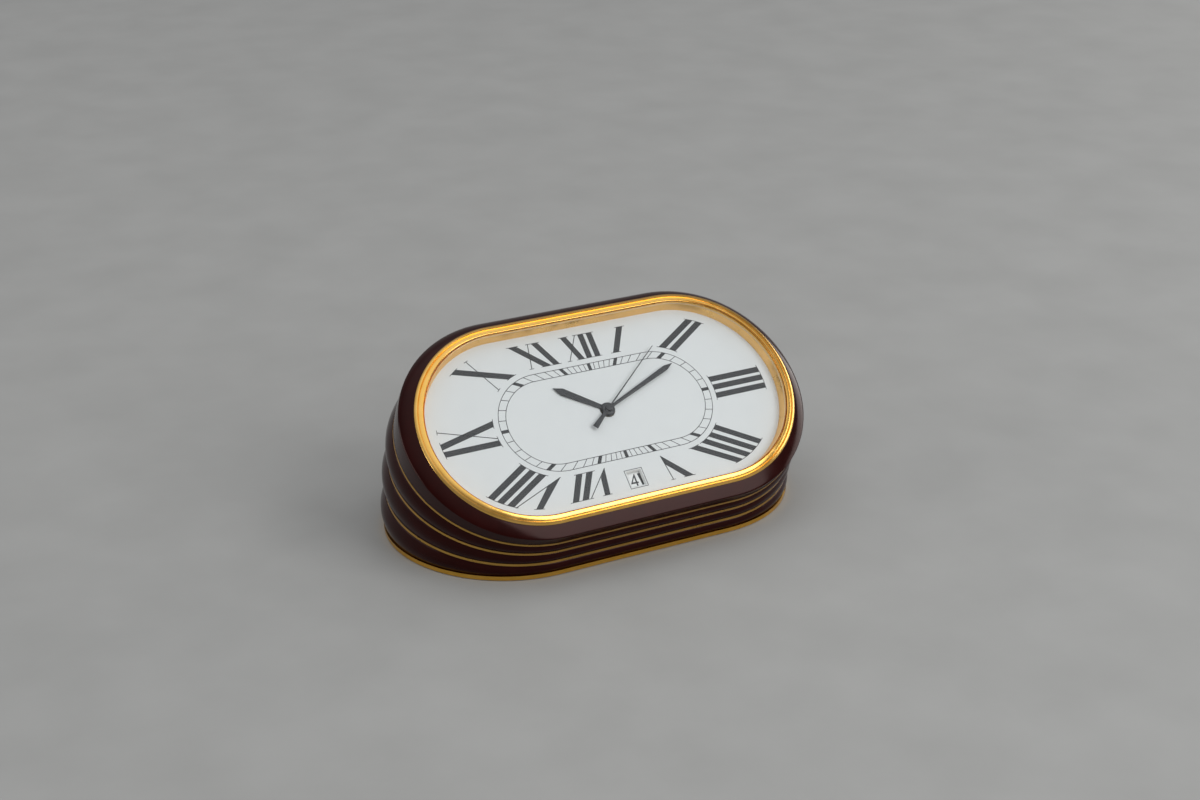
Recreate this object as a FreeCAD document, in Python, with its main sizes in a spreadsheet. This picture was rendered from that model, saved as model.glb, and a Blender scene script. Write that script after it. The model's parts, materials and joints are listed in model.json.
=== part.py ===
import FreeCAD, Part
import Sketcher
import math
import os

# Oval desk clock with calendar.
#
# The case is a fan of four lacquered gadroons on a gilt base plate.  Every joint between two
# gadroons lies in a plane through one horizontal fan axis in front of the clock, so the case is
# thin at six o'clock and thick at twelve o'clock, and its top plane is the face of the clock.
#
# Frame: +X to three o'clock, +Y to the back, +Z up, origin in the resting plane under the middle
# of the whole clock; the face overhangs the front, so the base plate sits a little further back.
# Pieces of the case are drawn about the middle of the base plate.  Pieces of the face and of the
# movement are drawn in the face frame: origin in the middle of the upper fan plane of the crown,
# +Z out of the dial, +Y to twelve o'clock.  The crown rises a little out of that plane to carry
# the bezel.

V = FreeCAD.Vector
FACE_UP = V(0, 0, 1)
doc = FreeCAD.newDocument("DeskClock")

# Driving dimensions: millimetres, degrees and tooth counts.
SIZES = {
    # case
    "base_setback": 1.39,
    "half_straight": 22.2,
    "roll_wall": 3.8,
    "base_margin": 0.4,
    "fan_reach": 46.3,
    "fan_height": 0.7,
    "fan_step": 9.63,
    "roll_swell": 0.85,
    "band_thickness": 0.6,
    "felt_thickness": 0.2,
    "base_thickness": 1.0,
    "felt_margin": 1.6,
    "crown_equator": 0.72,
    "crown_swell": 0.2,
    "crown_flatness": 1.6,
    "crown_rise": 0.9,
    "crown_seat_inset": 0.24,
    "crown_ledge_width": 2.0,
    "throat_clearance": 0.7,
    "fit_gap": 0.1,
    "air_gap": 0.3,
    "running_gap": 0.06,
    # battery hatch
    "hatch_radius": 17.0,
    "hatch_lug_width": 7.0,
    "hatch_lug_reach": 1.6,
    "hatch_lug_thickness": 0.9,
    "coin_slot_length": 15.0,
    "coin_slot_width": 1.8,
    "coin_slot_depth": 0.6,
    # bezel, lens and dial
    "bezel_overhang": 0.94,
    "bezel_undercut": 0.14,
    "bezel_wall": 0.8,
    "bead_width": 0.94,
    "bead_height": 0.2,
    "bead_roundness": 0.56,
    "inner_bead_width": 1.4,
    "lip_height": 0.1,
    "gasket_thickness": 0.1,
    "gasket_width": 0.2,
    "lens_drop": 0.2,
    "lens_thickness": 0.6,
    "rehaut_foot": 0.95,
    "rehaut_rim": 0.35,
    "dial_depth": 1.74,
    "dial_thickness": 0.5,
    "window_inset": 2.3,
    "window_width": 3.2,
    "window_height": 3.5,
    "window_bevel": 0.35,
    # holder and screws
    "holder_thickness": 2.0,
    "holder_wall": 1.1,
    "screw_radius": 0.4,
    "screw_head_radius": 0.8,
    "screw_head_height": 0.5,
    "screw_grip": 1.5,
    "base_screw_radius": 0.9,
    "base_screw_head_radius": 1.6,
    "base_screw_head_height": 0.6,
    "base_screw_grip": 3.0,
    # movement
    "movement_radius": 21.0,
    "motion_pocket_radius": 15.5,
    "plate_thickness": 1.2,
    "flange_thickness": 0.5,
    "train_height": 4.4,
    "bridge_inset": 0.5,
    "pillar_radius": 1.1,
    "pillar_inset": 2.0,
    "wheel_thickness": 0.4,
    "level_gap": 0.3,
    "arbor_radius": 0.35,
    "pipe_wall": 0.35,
    # motion works and date
    "motion_module": 0.25,
    "cannon_teeth": 12,
    "minute_wheel_teeth": 36,
    "minute_pinion_teeth": 10,
    "hour_wheel_teeth": 40,
    "hour_pinion_teeth": 24,
    "date_driver_teeth": 48,
    "setting_pinion_teeth": 12,
    "date_teeth": 31,
    "date_ring_inset": 0.4,
    "date_ring_width": 4.4,
    "date_tooth_height": 1.0,
    "date_ring_thickness": 0.4,
    "finger_width": 0.8,
    "jumper_post_radius": 0.8,
    "jumper_post_inset": 2.6,
    "jumper_arm_width": 0.6,
    # going train
    "train_module": 0.2,
    "step_module": 0.26,
    "rotor_module": 0.2,
    "centre_teeth": 64,
    "third_teeth": 60,
    "seconds_teeth": 48,
    "step_teeth": 30,
    "pinion_teeth": 8,
    "rotor_pinion_teeth": 6,
    "rotor_radius": 1.3,
    "rotor_height": 0.9,
    "stator_thickness": 0.7,
    "stator_width": 3.4,
    "stator_length": 12.4,
    "stator_leg_width": 1.4,
    "core_width": 1.6,
    "coil_radius": 1.4,
    "coil_bore_radius": 0.9,
    "coil_length": 9.0,
    "coil_spacing": 6.1,
    # battery and circuit
    "battery_radius": 5.8,
    "battery_height": 4.2,
    "battery_x": -10.0,
    "battery_y": -9.5,
    "battery_seat_radius": 4.0,
    "strap_thickness": 0.35,
    "strap_width": 4.0,
    "strap_length": 12.0,
    "board_thickness": 0.6,
    "board_width": 17.0,
    "board_depth": 11.0,
    "board_x": 7.5,
    "board_y": 6.0,
    "chip_side": 4.0,
    "chip_height": 1.1,
    "quartz_radius": 1.0,
    "quartz_length": 6.0,
    # setting knob and date corrector
    "setting_stem_radius": 0.75,
    "setting_knob_clearance": 0.83,
    "setting_knob_radius": 4.5,
    "setting_knob_height": 3.5,
    "knurl_count": 24,
    "knurl_radius": 0.45,
    "corrector_x": 9.2,
    "corrector_y": -11.2,
    "corrector_radius": 0.7,
    "corrector_recess": 0.5,
    "corrector_cap_radius": 1.8,
    "corrector_cap_height": 1.6,
    # hands
    "hand_thickness": 0.2,
    "hand_gap": 0.2,
    "minute_hand_length": 22.2,
    "minute_hand_width": 1.35,
    "minute_hand_neck": 0.75,
    "minute_hand_point": 2.4,
    "minute_boss_radius": 1.55,
    "hour_hand_length": 13.9,
    "hour_hand_width": 1.9,
    "hour_hand_neck": 1.1,
    "hour_hand_point": 2.3,
    "hour_boss_radius": 1.75,
    "seconds_hand_length": 21.9,
    "seconds_hand_width": 0.3,
    "seconds_tip_width": 0.12,
    "seconds_hand_thickness": 0.15,
    "seconds_tail_length": 6.6,
    "seconds_tail_width": 1.4,
    "seconds_tail_neck": 0.6,
    "seconds_boss_radius": 0.9,
    "minute_angle": 68.4,
    "hour_angle": 305.7,
    "seconds_angle": 52.0,
}

sheet = doc.addObject("Spreadsheet::Sheet", "Sizes")
for row, (alias, number) in enumerate(SIZES.items(), start=1):
    sheet.set(f"A{row}", alias)
    sheet.set(f"B{row}", str(number))
    sheet.setAlias(f"B{row}", alias)
doc.recompute()

NODES = []


# ---------------------------------------------------------------- expressions and small helpers

def dim(alias):
    """Expression that names one cell of the sheet."""
    return f"Sizes.{alias}"


def value(expression):
    """Number that an expression over the sheet gives."""
    return float(sheet.evalExpression(str(expression)))


def bind(thing, path, expression):
    thing.setExpression(path, str(expression))


def keep(thing, label):
    """Register one finished piece under the name of its file."""
    thing.Label = label
    NODES.append(thing)
    return thing


def lean(thing, path, angle):
    """Turn a placement about the X axis by an angle expression."""
    for axis, part in zip("xyz", ("1", "0", "0")):
        bind(thing, f"{path}.Rotation.Axis.{axis}", part)
    bind(thing, f"{path}.Rotation.Angle", angle)


def fan_angle(turns):
    return f"(({turns}) * Sizes.fan_step)"


def fan_back(turns, lift="0", shift="0"):
    """Y of the centre of a fan plane, lifted off it and shifted back along it."""
    angle = fan_angle(turns)
    return (f"(Sizes.fan_reach + ({shift})) * cos({angle}) - Sizes.fan_reach"
            f" - ({lift}) * sin({angle})")


def fan_up(turns, lift="0", shift="0"):
    angle = fan_angle(turns)
    return (f"Sizes.fan_height + (Sizes.fan_reach + ({shift})) * sin({angle})"
            f" + ({lift}) * cos({angle})")


def stand(thing):
    """Set a piece drawn about the middle of the base plate into the frame of the clock."""
    bind(thing, "Placement.Base.y", dim("base_setback"))


def seat_in_fan(thing, turns):
    """Lay a piece drawn flat into a plane of the fan."""
    lean(thing, "Placement", fan_angle(turns))
    bind(thing, "Placement.Base.y", f"{fan_back(turns)} + Sizes.base_setback")
    bind(thing, "Placement.Base.z", fan_up(turns))


FACE_TURNS = "4"
FACE_TILT = fan_angle(FACE_TURNS)


def seat_in_face(thing):
    seat_in_fan(thing, FACE_TURNS)


# ---------------------------------------------------------------- sketches

def new_body(label):
    body = doc.addObject("PartDesign::Body", label)
    return keep(body, label)


def origin_plane(body, role):
    return next(f for f in body.Origin.OriginFeatures if f.Role == role)


def new_sketch(body, at=("0", "0", "0"), turn=None, role="XY_Plane"):
    """Sketch on an origin plane of its body, moved and turned in that plane."""
    sketch = body.newObject("Sketcher::SketchObject", f"{body.Name}_sketch")
    sketch.AttachmentSupport = (origin_plane(body, role), [""])
    sketch.MapMode = "FlatFace"
    for axis, place in zip("xyz", at):
        bind(sketch, f"AttachmentOffset.Base.{axis}", place)
    if turn is not None:
        for axis, part in zip("xyz", ("0", "0", "1")):
            bind(sketch, f"AttachmentOffset.Rotation.Axis.{axis}", part)
        bind(sketch, "AttachmentOffset.Rotation.Angle", turn)
    return sketch


def fan_sketch(body, turns, lift="0", shift="0", across="0"):
    """Sketch in a plane of the fan, for a body drawn about the middle of the base plate."""
    sketch = new_sketch(body, (across, fan_back(turns, lift, shift), fan_up(turns, lift, shift)))
    lean(sketch, "AttachmentOffset", fan_angle(turns))
    return sketch


def drive(sketch, constraint, name, expression):
    """Add a constraint and bind it to an expression."""
    index = sketch.addConstraint(constraint)
    sketch.renameConstraint(index, name)
    bind(sketch, f"Constraints.{name}", expression)


def draw_oval(sketch, radius, half=dim("half_straight"), tag="oval"):
    """Closed oval: two straight runs joined by half circles; starts at the top middle."""
    a = value(half)
    r = value(radius)
    first = sketch.GeometryCount
    corners = [V(0, r, 0), V(-a, r, 0), V(-a, -r, 0), V(a, -r, 0), V(a, r, 0)]
    sketch.addGeometry(Part.LineSegment(corners[0], corners[1]))
    sketch.addGeometry(Part.Arc(corners[1], V(-a - r, 0, 0), corners[2]))
    sketch.addGeometry(Part.LineSegment(corners[2], corners[3]))
    sketch.addGeometry(Part.Arc(corners[3], V(a + r, 0, 0), corners[4]))
    sketch.addGeometry(Part.LineSegment(corners[4], corners[0]))
    left, right, last = first + 1, first + 3, first + 4
    for index in range(first, last):
        sketch.addConstraint(Sketcher.Constraint("Tangent", index, 2, index + 1, 1))
    sketch.addConstraint(Sketcher.Constraint("Coincident", last, 2, first, 1))
    sketch.addConstraint(Sketcher.Constraint("PointOnObject", first, 1, -2))
    sketch.addConstraint(Sketcher.Constraint("Horizontal", first))
    sketch.addConstraint(Sketcher.Constraint("Symmetric", left, 3, right, 3, -1, 1))
    drive(sketch, Sketcher.Constraint("DistanceX", -1, 1, right, 3, a), f"{tag}_half", half)
    drive(sketch, Sketcher.Constraint("Radius", right, r), f"{tag}_radius", radius)
    return sketch


def draw_circle(sketch, radius, tag="circle"):
    index = sketch.addGeometry(Part.Circle(V(0, 0, 0), FACE_UP, value(radius)))
    sketch.addConstraint(Sketcher.Constraint("Coincident", index, 3, -1, 1))
    drive(sketch, Sketcher.Constraint("Radius", index, value(radius)), f"{tag}_radius", radius)
    return sketch


def draw_rectangle(sketch, width, height, tag="box"):
    """Rectangle about the origin of the sketch."""
    w = value(width) / 2
    h = value(height) / 2
    corners = [V(-w, -h, 0), V(w, -h, 0), V(w, h, 0), V(-w, h, 0)]
    first = sketch.GeometryCount
    for index in range(4):
        sketch.addGeometry(Part.LineSegment(corners[index], corners[(index + 1) % 4]))
    for index in range(4):
        follow = first + (index + 1) % 4
        sketch.addConstraint(Sketcher.Constraint("Coincident", first + index, 2, follow, 1))
    sketch.addConstraint(Sketcher.Constraint("Horizontal", first))
    sketch.addConstraint(Sketcher.Constraint("Vertical", first + 1))
    sketch.addConstraint(Sketcher.Constraint("Horizontal", first + 2))
    sketch.addConstraint(Sketcher.Constraint("Symmetric", first, 1, first + 2, 1, -1, 1))
    drive(sketch, Sketcher.Constraint("DistanceX", first, 1, first, 2, 2 * w), f"{tag}_width", width)
    drive(sketch, Sketcher.Constraint("DistanceY", first + 1, 1, first + 1, 2, 2 * h),
          f"{tag}_height", height)
    return sketch


def draw_outline(sketch, corners):
    """Closed outline through corners right of and above the origin of the sketch.

    A corner is (x, y) or (x, y, radius); with a radius, an arc that bulges upward leads to it.
    """
    points = [V(value(corner[0]), value(corner[1]), 0) for corner in corners]
    first = sketch.GeometryCount
    count = len(corners)
    for index in range(count):
        start = points[index]
        end = points[(index + 1) % count]
        arrival = corners[(index + 1) % count]
        if len(arrival) == 3:
            half_chord = (end - start).Length / 2
            radius = value(arrival[2])
            rise = radius - math.sqrt(max(radius ** 2 - half_chord ** 2, 0.0))
            across = FACE_UP.cross(end - start).normalize()
            side = 1 if across.y > 0 else -1
            middle = (start + end) / 2 + across * (side * rise)
            sketch.addGeometry(Part.Arc(start, middle, end))
        else:
            sketch.addGeometry(Part.LineSegment(start, end))
    arcs = {}
    for index in range(count):
        here = first + index
        follow = first + (index + 1) % count
        geometry = sketch.Geometry[here]
        if isinstance(geometry, Part.ArcOfCircle):
            clockwise = (geometry.StartPoint - points[index]).Length > 1e-6
            arcs[here] = (2, 1) if clockwise else (1, 2)
    for index in range(count):
        here = first + index
        follow = first + (index + 1) % count
        here_end = arcs.get(here, (1, 2))[1]
        follow_start = arcs.get(follow, (1, 2))[0]
        sketch.addConstraint(Sketcher.Constraint("Coincident", here, here_end, follow, follow_start))
    for index, corner in enumerate(corners):
        here = first + index
        start = arcs.get(here, (1, 2))[0]
        x, y = points[index].x, points[index].y
        drive(sketch, Sketcher.Constraint("DistanceX", -1, 1, here, start, x), f"x{index}", corner[0])
        drive(sketch, Sketcher.Constraint("DistanceY", -1, 1, here, start, y), f"y{index}", corner[1])
        arrival = corners[(index + 1) % count]
        if len(arrival) == 3:
            radius = value(arrival[2])
            drive(sketch, Sketcher.Constraint("Radius", here, radius), f"arc{index}", arrival[2])
    return sketch


def draw_blade(sketch, stations, tip=None):
    """Outline symmetric about the Y axis: (height, width) stations upward, then a point."""
    right = [V(value(width) / 2, value(height), 0) for height, width in stations]
    left = [V(-point.x, point.y, 0) for point in reversed(right)]
    point = [] if tip is None else [V(0, value(tip), 0)]
    loop = right + point + left
    count = len(loop)
    first = sketch.GeometryCount
    for index in range(count):
        sketch.addGeometry(Part.LineSegment(loop[index], loop[(index + 1) % count]))
    for index in range(count):
        follow = first + (index + 1) % count
        sketch.addConstraint(Sketcher.Constraint("Coincident", first + index, 2, follow, 1))
    for index, (height, width) in enumerate(stations):
        here = first + index
        mirror = first + count - 1 - index
        sketch.addConstraint(Sketcher.Constraint("Symmetric", here, 1, mirror, 1, -2))
        drive(sketch, Sketcher.Constraint("DistanceX", mirror, 1, here, 1, value(width)),
              f"width{index}", width)
        drive(sketch, Sketcher.Constraint("DistanceY", -1, 1, here, 1, value(height)),
              f"height{index}", height)
    if tip is not None:
        here = first + len(stations)
        sketch.addConstraint(Sketcher.Constraint("PointOnObject", here, 1, -2))
        drive(sketch, Sketcher.Constraint("DistanceY", -1, 1, here, 1, value(tip)), "tip", tip)
    return sketch


# ---------------------------------------------------------------- features

CUTS = []


def pad(body, sketch, length):
    """Grow a sketch upward."""
    feature = body.newObject("PartDesign::Pad", f"{body.Name}_pad")
    feature.Profile = sketch
    bind(feature, "Length", length)
    return feature


def pocket(body, sketch, length):
    """Cut downward from a sketch."""
    feature = body.newObject("PartDesign::Pocket", f"{body.Name}_pocket")
    feature.Profile = sketch
    bind(feature, "Length", length)
    CUTS.append(feature)
    return feature


def loft(body, sketches, smooth=True, cut=False):
    kind = "PartDesign::SubtractiveLoft" if cut else "PartDesign::AdditiveLoft"
    feature = body.newObject(kind, f"{body.Name}_loft")
    feature.Profile = sketches[0]
    feature.Sections = [(sketch, [""]) for sketch in sketches[1:]]
    feature.Ruled = not smooth
    if cut:
        CUTS.append(feature)
    return feature


def pad_circle(body, radius, bottom, height, at=("0", "0")):
    sketch = new_sketch(body, (at[0], at[1], bottom))
    draw_circle(sketch, radius)
    return pad(body, sketch, height)


def bore(body, radius, top, depth, at=("0", "0")):
    """Round pocket that runs down from a level."""
    sketch = new_sketch(body, (at[0], at[1], top))
    draw_circle(sketch, radius)
    return pocket(body, sketch, depth)


def oval_ring(label, outer, inner, bottom, height):
    """Flat oval ring: a pad with an oval opening."""
    body = new_body(label)
    sketch = new_sketch(body, ("0", "0", bottom))
    draw_oval(sketch, outer, tag="outer")
    draw_oval(sketch, inner, tag="inner")
    pad(body, sketch, height)
    return body


def cylinder(radius, height, at=("0", "0", "0"), name="Round"):
    """Part cylinder that stands on a point."""
    solid = doc.addObject("Part::Cylinder", name)
    bind(solid, "Radius", radius)
    bind(solid, "Height", height)
    for axis, place in zip("xyz", at):
        bind(solid, f"Placement.Base.{axis}", place)
    return solid


def block(width, depth, height, middle=("0", "0", "0"), name="Block"):
    """Part box that stands on the middle of its bottom face."""
    solid = doc.addObject("Part::Box", name)
    bind(solid, "Length", width)
    bind(solid, "Width", depth)
    bind(solid, "Height", height)
    bind(solid, "Placement.Base.x", f"({middle[0]}) - ({width}) / 2")
    bind(solid, "Placement.Base.y", f"({middle[1]}) - ({depth}) / 2")
    bind(solid, "Placement.Base.z", middle[2])
    return solid


def fuse(pieces, label="Joined"):
    joined = doc.addObject("Part::MultiFuse", label)
    joined.Shapes = pieces
    return joined


def cut_from(base, tool, label="Trimmed"):
    trimmed = doc.addObject("Part::Cut", label)
    trimmed.Base = base
    trimmed.Tool = tool
    return trimmed


def group(pieces, label):
    """One node that holds several separate solids."""
    together = doc.addObject("Part::Compound", label)
    together.Links = pieces
    return keep(together, label)


def screw(at, radius, length, head_radius, head_height, head_up):
    """Slotted screw on a point: shank above its head, or head above its shank."""
    x, y, z = at
    shank_z = z if head_up else f"({z}) + ({head_height})"
    head_z = f"({z}) + ({length})" if head_up else z
    slot_z = f"({head_z}) + ({head_height}) / 2" if head_up else head_z
    shank = cylinder(radius, length, (x, y, shank_z))
    head = cylinder(head_radius, head_height, (x, y, head_z))
    slot = block(f"({head_radius}) * 3", f"({radius}) / 2", f"({head_height}) / 2", (x, y, slot_z))
    return cut_from(fuse([shank, head]), slot)


# ---------------------------------------------------------------- toothed wheels

TIP_SHARE = 0.11
ROOT_SHARE = 0.27
ADDENDUM = 0.85
DEDENDUM = 1.15


def toothed_face(teeth, root, tip, phase, root_share=ROOT_SHARE):
    """Flat toothed outline with straight-sided teeth; phase turns one tooth to that angle."""
    pitch = 360 / teeth
    corners = ((root, -root_share), (tip, -TIP_SHARE), (tip, TIP_SHARE), (root, root_share))
    points = []
    for tooth in range(teeth):
        for radius, share in corners:
            angle = math.radians(phase + (tooth + share) * pitch)
            points.append(V(radius * math.cos(angle), radius * math.sin(angle), 0))
    points.append(points[0])
    return Part.Face(Part.makePolygon(points))


def gear(teeth, module, phase, bottom, thickness):
    """Toothed disc; teeth, module, bottom and thickness are expressions."""
    count = int(value(teeth))
    size = value(module)
    pitch_radius = count * size / 2
    root = pitch_radius - DEDENDUM * size
    tip = pitch_radius + ADDENDUM * size
    face = toothed_face(count, root, tip, phase)
    face.translate(V(0, 0, value(bottom)))
    return face.extrude(V(0, 0, value(thickness)))


def mesh_phase(phase, teeth, next_teeth, direction):
    """Phase of a wheel whose gap meets the tooth of the wheel that lies back along direction."""
    ratio = value(teeth) / value(next_teeth)
    return direction + 180 + (direction - phase) * ratio + 180 / value(next_teeth)


def rod(radius, bottom, top):
    """Round bar between two levels."""
    low = value(bottom)
    return Part.makeCylinder(value(radius), value(top) - low, V(0, 0, low), FACE_UP)


def turned_piece(label, solids, hole=None, at=("0", "0")):
    """Wheel or arbor fused from its solids, seated in the face frame."""
    shape = solids[0]
    for solid in solids[1:]:
        shape = shape.fuse(solid)
    if hole is not None:
        shape = shape.cut(hole)
    shape.translate(V(value(at[0]), value(at[1]), 0))
    feature = doc.addObject("Part::Feature", label)
    feature.Shape = shape.removeSplitter()
    seat_in_face(feature)
    return keep(feature, label)


# ---------------------------------------------------------------- levels in the face frame

DIAL_TOP = "(-Sizes.dial_depth)"
DIAL_BOTTOM = f"({DIAL_TOP} - Sizes.dial_thickness)"
LENS_TOP = "(Sizes.crown_rise - Sizes.lens_drop)"
LENS_BOTTOM = f"({LENS_TOP} - Sizes.lens_thickness)"
HOLDER_BOTTOM = f"({DIAL_BOTTOM} - Sizes.holder_thickness)"
RING_TOP = f"({DIAL_BOTTOM} - Sizes.air_gap)"
RING_BOTTOM = f"({RING_TOP} - Sizes.date_ring_thickness)"
LAND = f"({RING_BOTTOM} - Sizes.air_gap)"
LEVEL = "(Sizes.wheel_thickness + Sizes.level_gap)"
DRIVER_LEVEL = f"({RING_BOTTOM} - {LEVEL})"
HOUR_LEVEL = f"({DRIVER_LEVEL} - {LEVEL})"
MINUTE_LEVEL = f"({HOUR_LEVEL} - {LEVEL})"
POCKET_FLOOR = f"({MINUTE_LEVEL} - Sizes.level_gap)"
PLATE_BOTTOM = f"({POCKET_FLOOR} - Sizes.plate_thickness)"
CENTRE_LEVEL = f"({PLATE_BOTTOM} - {LEVEL})"
THIRD_LEVEL = f"({CENTRE_LEVEL} - {LEVEL})"
SECONDS_LEVEL = f"({THIRD_LEVEL} - {LEVEL})"
STEP_LEVEL = f"({SECONDS_LEVEL} - {LEVEL})"
BRIDGE_TOP = f"({PLATE_BOTTOM} - Sizes.train_height)"
BRIDGE_BOTTOM = f"({BRIDGE_TOP} - Sizes.plate_thickness)"
HOUR_HAND = f"({DIAL_TOP} + Sizes.air_gap)"
MINUTE_HAND = f"({HOUR_HAND} + Sizes.hand_thickness + Sizes.hand_gap)"
SECONDS_HAND = f"({MINUTE_HAND} + Sizes.hand_thickness + Sizes.hand_gap)"
UPPER_PIVOT = f"({PLATE_BOTTOM} + Sizes.flange_thickness)"
LOWER_PIVOT = f"({BRIDGE_TOP} - Sizes.plate_thickness / 2)"

# Radii of the ovals, from the movement outward to the edge of the base plate.
SKIRT_BORE = "(Sizes.movement_radius + Sizes.fit_gap)"
SKIRT = f"({SKIRT_BORE} + Sizes.holder_wall)"
THROAT = f"({SKIRT} + Sizes.throat_clearance)"
BORE = f"({THROAT} + Sizes.crown_ledge_width)"
BAND = f"({BORE} + Sizes.roll_wall)"
BASE_EDGE = f"({BAND} + Sizes.base_margin)"
BEZEL_EDGE = f"({BORE} + Sizes.bezel_overhang)"
CROWN_SEAT = f"({BEZEL_EDGE} - Sizes.crown_seat_inset)"
DATE_RING_EDGE = "(Sizes.movement_radius - Sizes.date_ring_inset)"
DATE_ROOT = f"({DATE_RING_EDGE} - Sizes.date_ring_width)"
DATE_TIP = f"({DATE_ROOT} - Sizes.date_tooth_height)"

# Nested pipes in the middle of the dial, each turning on the one inside it.
PIVOT_HOLE = "(Sizes.arbor_radius + Sizes.running_gap)"
CENTRE_PIPE = f"({PIVOT_HOLE} + Sizes.pipe_wall)"
CANNON_BORE = f"({CENTRE_PIPE} + Sizes.running_gap)"
CANNON = f"({CANNON_BORE} + Sizes.pipe_wall)"
HOUR_BORE = f"({CANNON} + Sizes.running_gap)"
HOUR_PIPE = f"({HOUR_BORE} + Sizes.pipe_wall)"
STEM_HOLE = "(Sizes.setting_stem_radius + Sizes.running_gap)"
CORRECTOR_HOLE = "(Sizes.corrector_radius + Sizes.running_gap)"


def at_angle(distance, angle, start=("0", "0")):
    """Point at a distance and an angle from another point of the face."""
    return (f"({start[0]} + ({distance}) * cos({angle}))",
            f"({start[1]} + ({distance}) * sin({angle}))")


# Axes of the wheels; angles are counted from three o'clock towards twelve.
MINUTE_DIRECTION = -90
DRIVER_DIRECTION = 150
THIRD_DIRECTION = -30
STEP_DIRECTION = 150
ROTOR_DIRECTION = 180
MINUTE_DISTANCE = "((Sizes.cannon_teeth + Sizes.minute_wheel_teeth) * Sizes.motion_module / 2)"
SETTING_DISTANCE = ("((Sizes.minute_wheel_teeth + Sizes.setting_pinion_teeth)"
                    " * Sizes.motion_module / 2)")
DRIVER_DISTANCE = ("((Sizes.hour_pinion_teeth + Sizes.date_driver_teeth)"
                   " * Sizes.motion_module / 2)")
THIRD_DISTANCE = "((Sizes.centre_teeth + Sizes.pinion_teeth) * Sizes.train_module / 2)"
STEP_DISTANCE = "((Sizes.seconds_teeth + Sizes.pinion_teeth) * Sizes.step_module / 2)"
ROTOR_DISTANCE = "((Sizes.step_teeth + Sizes.rotor_pinion_teeth) * Sizes.rotor_module / 2)"
HOUR_MODULE = f"({MINUTE_DISTANCE} * 2 / (Sizes.minute_pinion_teeth + Sizes.hour_wheel_teeth))"
THIRD_MODULE = f"({THIRD_DISTANCE} * 2 / (Sizes.third_teeth + Sizes.pinion_teeth))"
CENTRE = ("0", "0")
MINUTE_AT = at_angle(MINUTE_DISTANCE, MINUTE_DIRECTION)
SETTING_AT = at_angle(SETTING_DISTANCE, MINUTE_DIRECTION, MINUTE_AT)
DRIVER_AT = at_angle(DRIVER_DISTANCE, DRIVER_DIRECTION)
THIRD_AT = at_angle(THIRD_DISTANCE, THIRD_DIRECTION)
STEP_AT = at_angle(STEP_DISTANCE, STEP_DIRECTION)
ROTOR_AT = at_angle(ROTOR_DISTANCE, ROTOR_DIRECTION, STEP_AT)
CORRECTOR_AT = (dim("corrector_x"), dim("corrector_y"))
BATTERY_AT = (dim("battery_x"), dim("battery_y"))
COIL_AT = (f"({ROTOR_AT[0]} - Sizes.coil_spacing)", ROTOR_AT[1])
PILLAR_ANGLES = (45, 115, 197, 285)
PILLARS = [at_angle("(Sizes.movement_radius - Sizes.pillar_inset)", angle)
           for angle in PILLAR_ANGLES]
STRAP_AT = (f"({BATTERY_AT[0]} + Sizes.strap_length / 6)", BATTERY_AT[1])
STRAP_SCREW_AT = (f"({STRAP_AT[0]} + Sizes.strap_length / 2 - 2 * Sizes.screw_radius)",
                  BATTERY_AT[1])

# The knob's lowest edge clears the hatch, and the push pin ends a little higher.
HATCH_TOP = ("(Sizes.felt_thickness + Sizes.base_thickness + Sizes.air_gap"
             " + Sizes.hatch_lug_thickness)")
KNOB_EDGE_REACH = f"(Sizes.fan_reach + {SETTING_AT[1]} - Sizes.setting_knob_radius)"
KNOB_BOTTOM = (f"(({HATCH_TOP} + Sizes.setting_knob_clearance - Sizes.fan_height"
               f" - {KNOB_EDGE_REACH} * sin({FACE_TILT})) / cos({FACE_TILT}))")
KNOB_TOP = f"({KNOB_BOTTOM} + Sizes.setting_knob_height)"
CORRECTOR_END = f"({KNOB_TOP} + Sizes.corrector_recess)"


# ---------------------------------------------------------------- case

BASE_TOP = "(Sizes.felt_thickness + Sizes.base_thickness)"
LUG_BOTTOM = f"({BASE_TOP} + Sizes.air_gap)"
LUG_CIRCLE = "(Sizes.hatch_radius + Sizes.hatch_lug_reach)"
LUG_ANGLES = (0, 60, 120)
NOTCH_ANGLES = (30, 90, 150)
ROLL_STEPS = 6
CROWN = 3

# Rings of the face, from the bezel inward.
BEZEL_FOOT = f"({BEZEL_EDGE} - Sizes.bezel_undercut)"
BEZEL_TUBE = f"({BORE} - Sizes.fit_gap)"
GROOVE = f"({BEZEL_EDGE} - Sizes.bead_width)"
LIP = f"({GROOVE} - Sizes.inner_bead_width)"
REBATE = f"({BEZEL_TUBE} - Sizes.bezel_wall)"
LENS_EDGE = f"({REBATE} - Sizes.fit_gap)"
REHAUT_RIM = f"({LENS_EDGE} - Sizes.rehaut_rim)"
REHAUT_FOOT = f"({LENS_EDGE} - Sizes.rehaut_foot)"


def corner_points(radius, spread):
    """Four points on the end circles of the oval, mirrored about both axes."""
    across = f"(Sizes.half_straight + ({radius}) * cos({spread}))"
    along = f"(({radius}) * sin({spread}))"
    return [(f"({i} * {across})", f"({j} * {along})") for i in (-1, 1) for j in (-1, 1)]


BASE_SCREW_SPREAD = 45
HOLDER_SCREW_SPREAD = 12
BASE_SCREWS = corner_points(f"({BORE} + {BAND}) / 2", BASE_SCREW_SPREAD)
HOLDER_SCREWS = corner_points(f"({BORE} + {THROAT}) / 2", HOLDER_SCREW_SPREAD)


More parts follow.
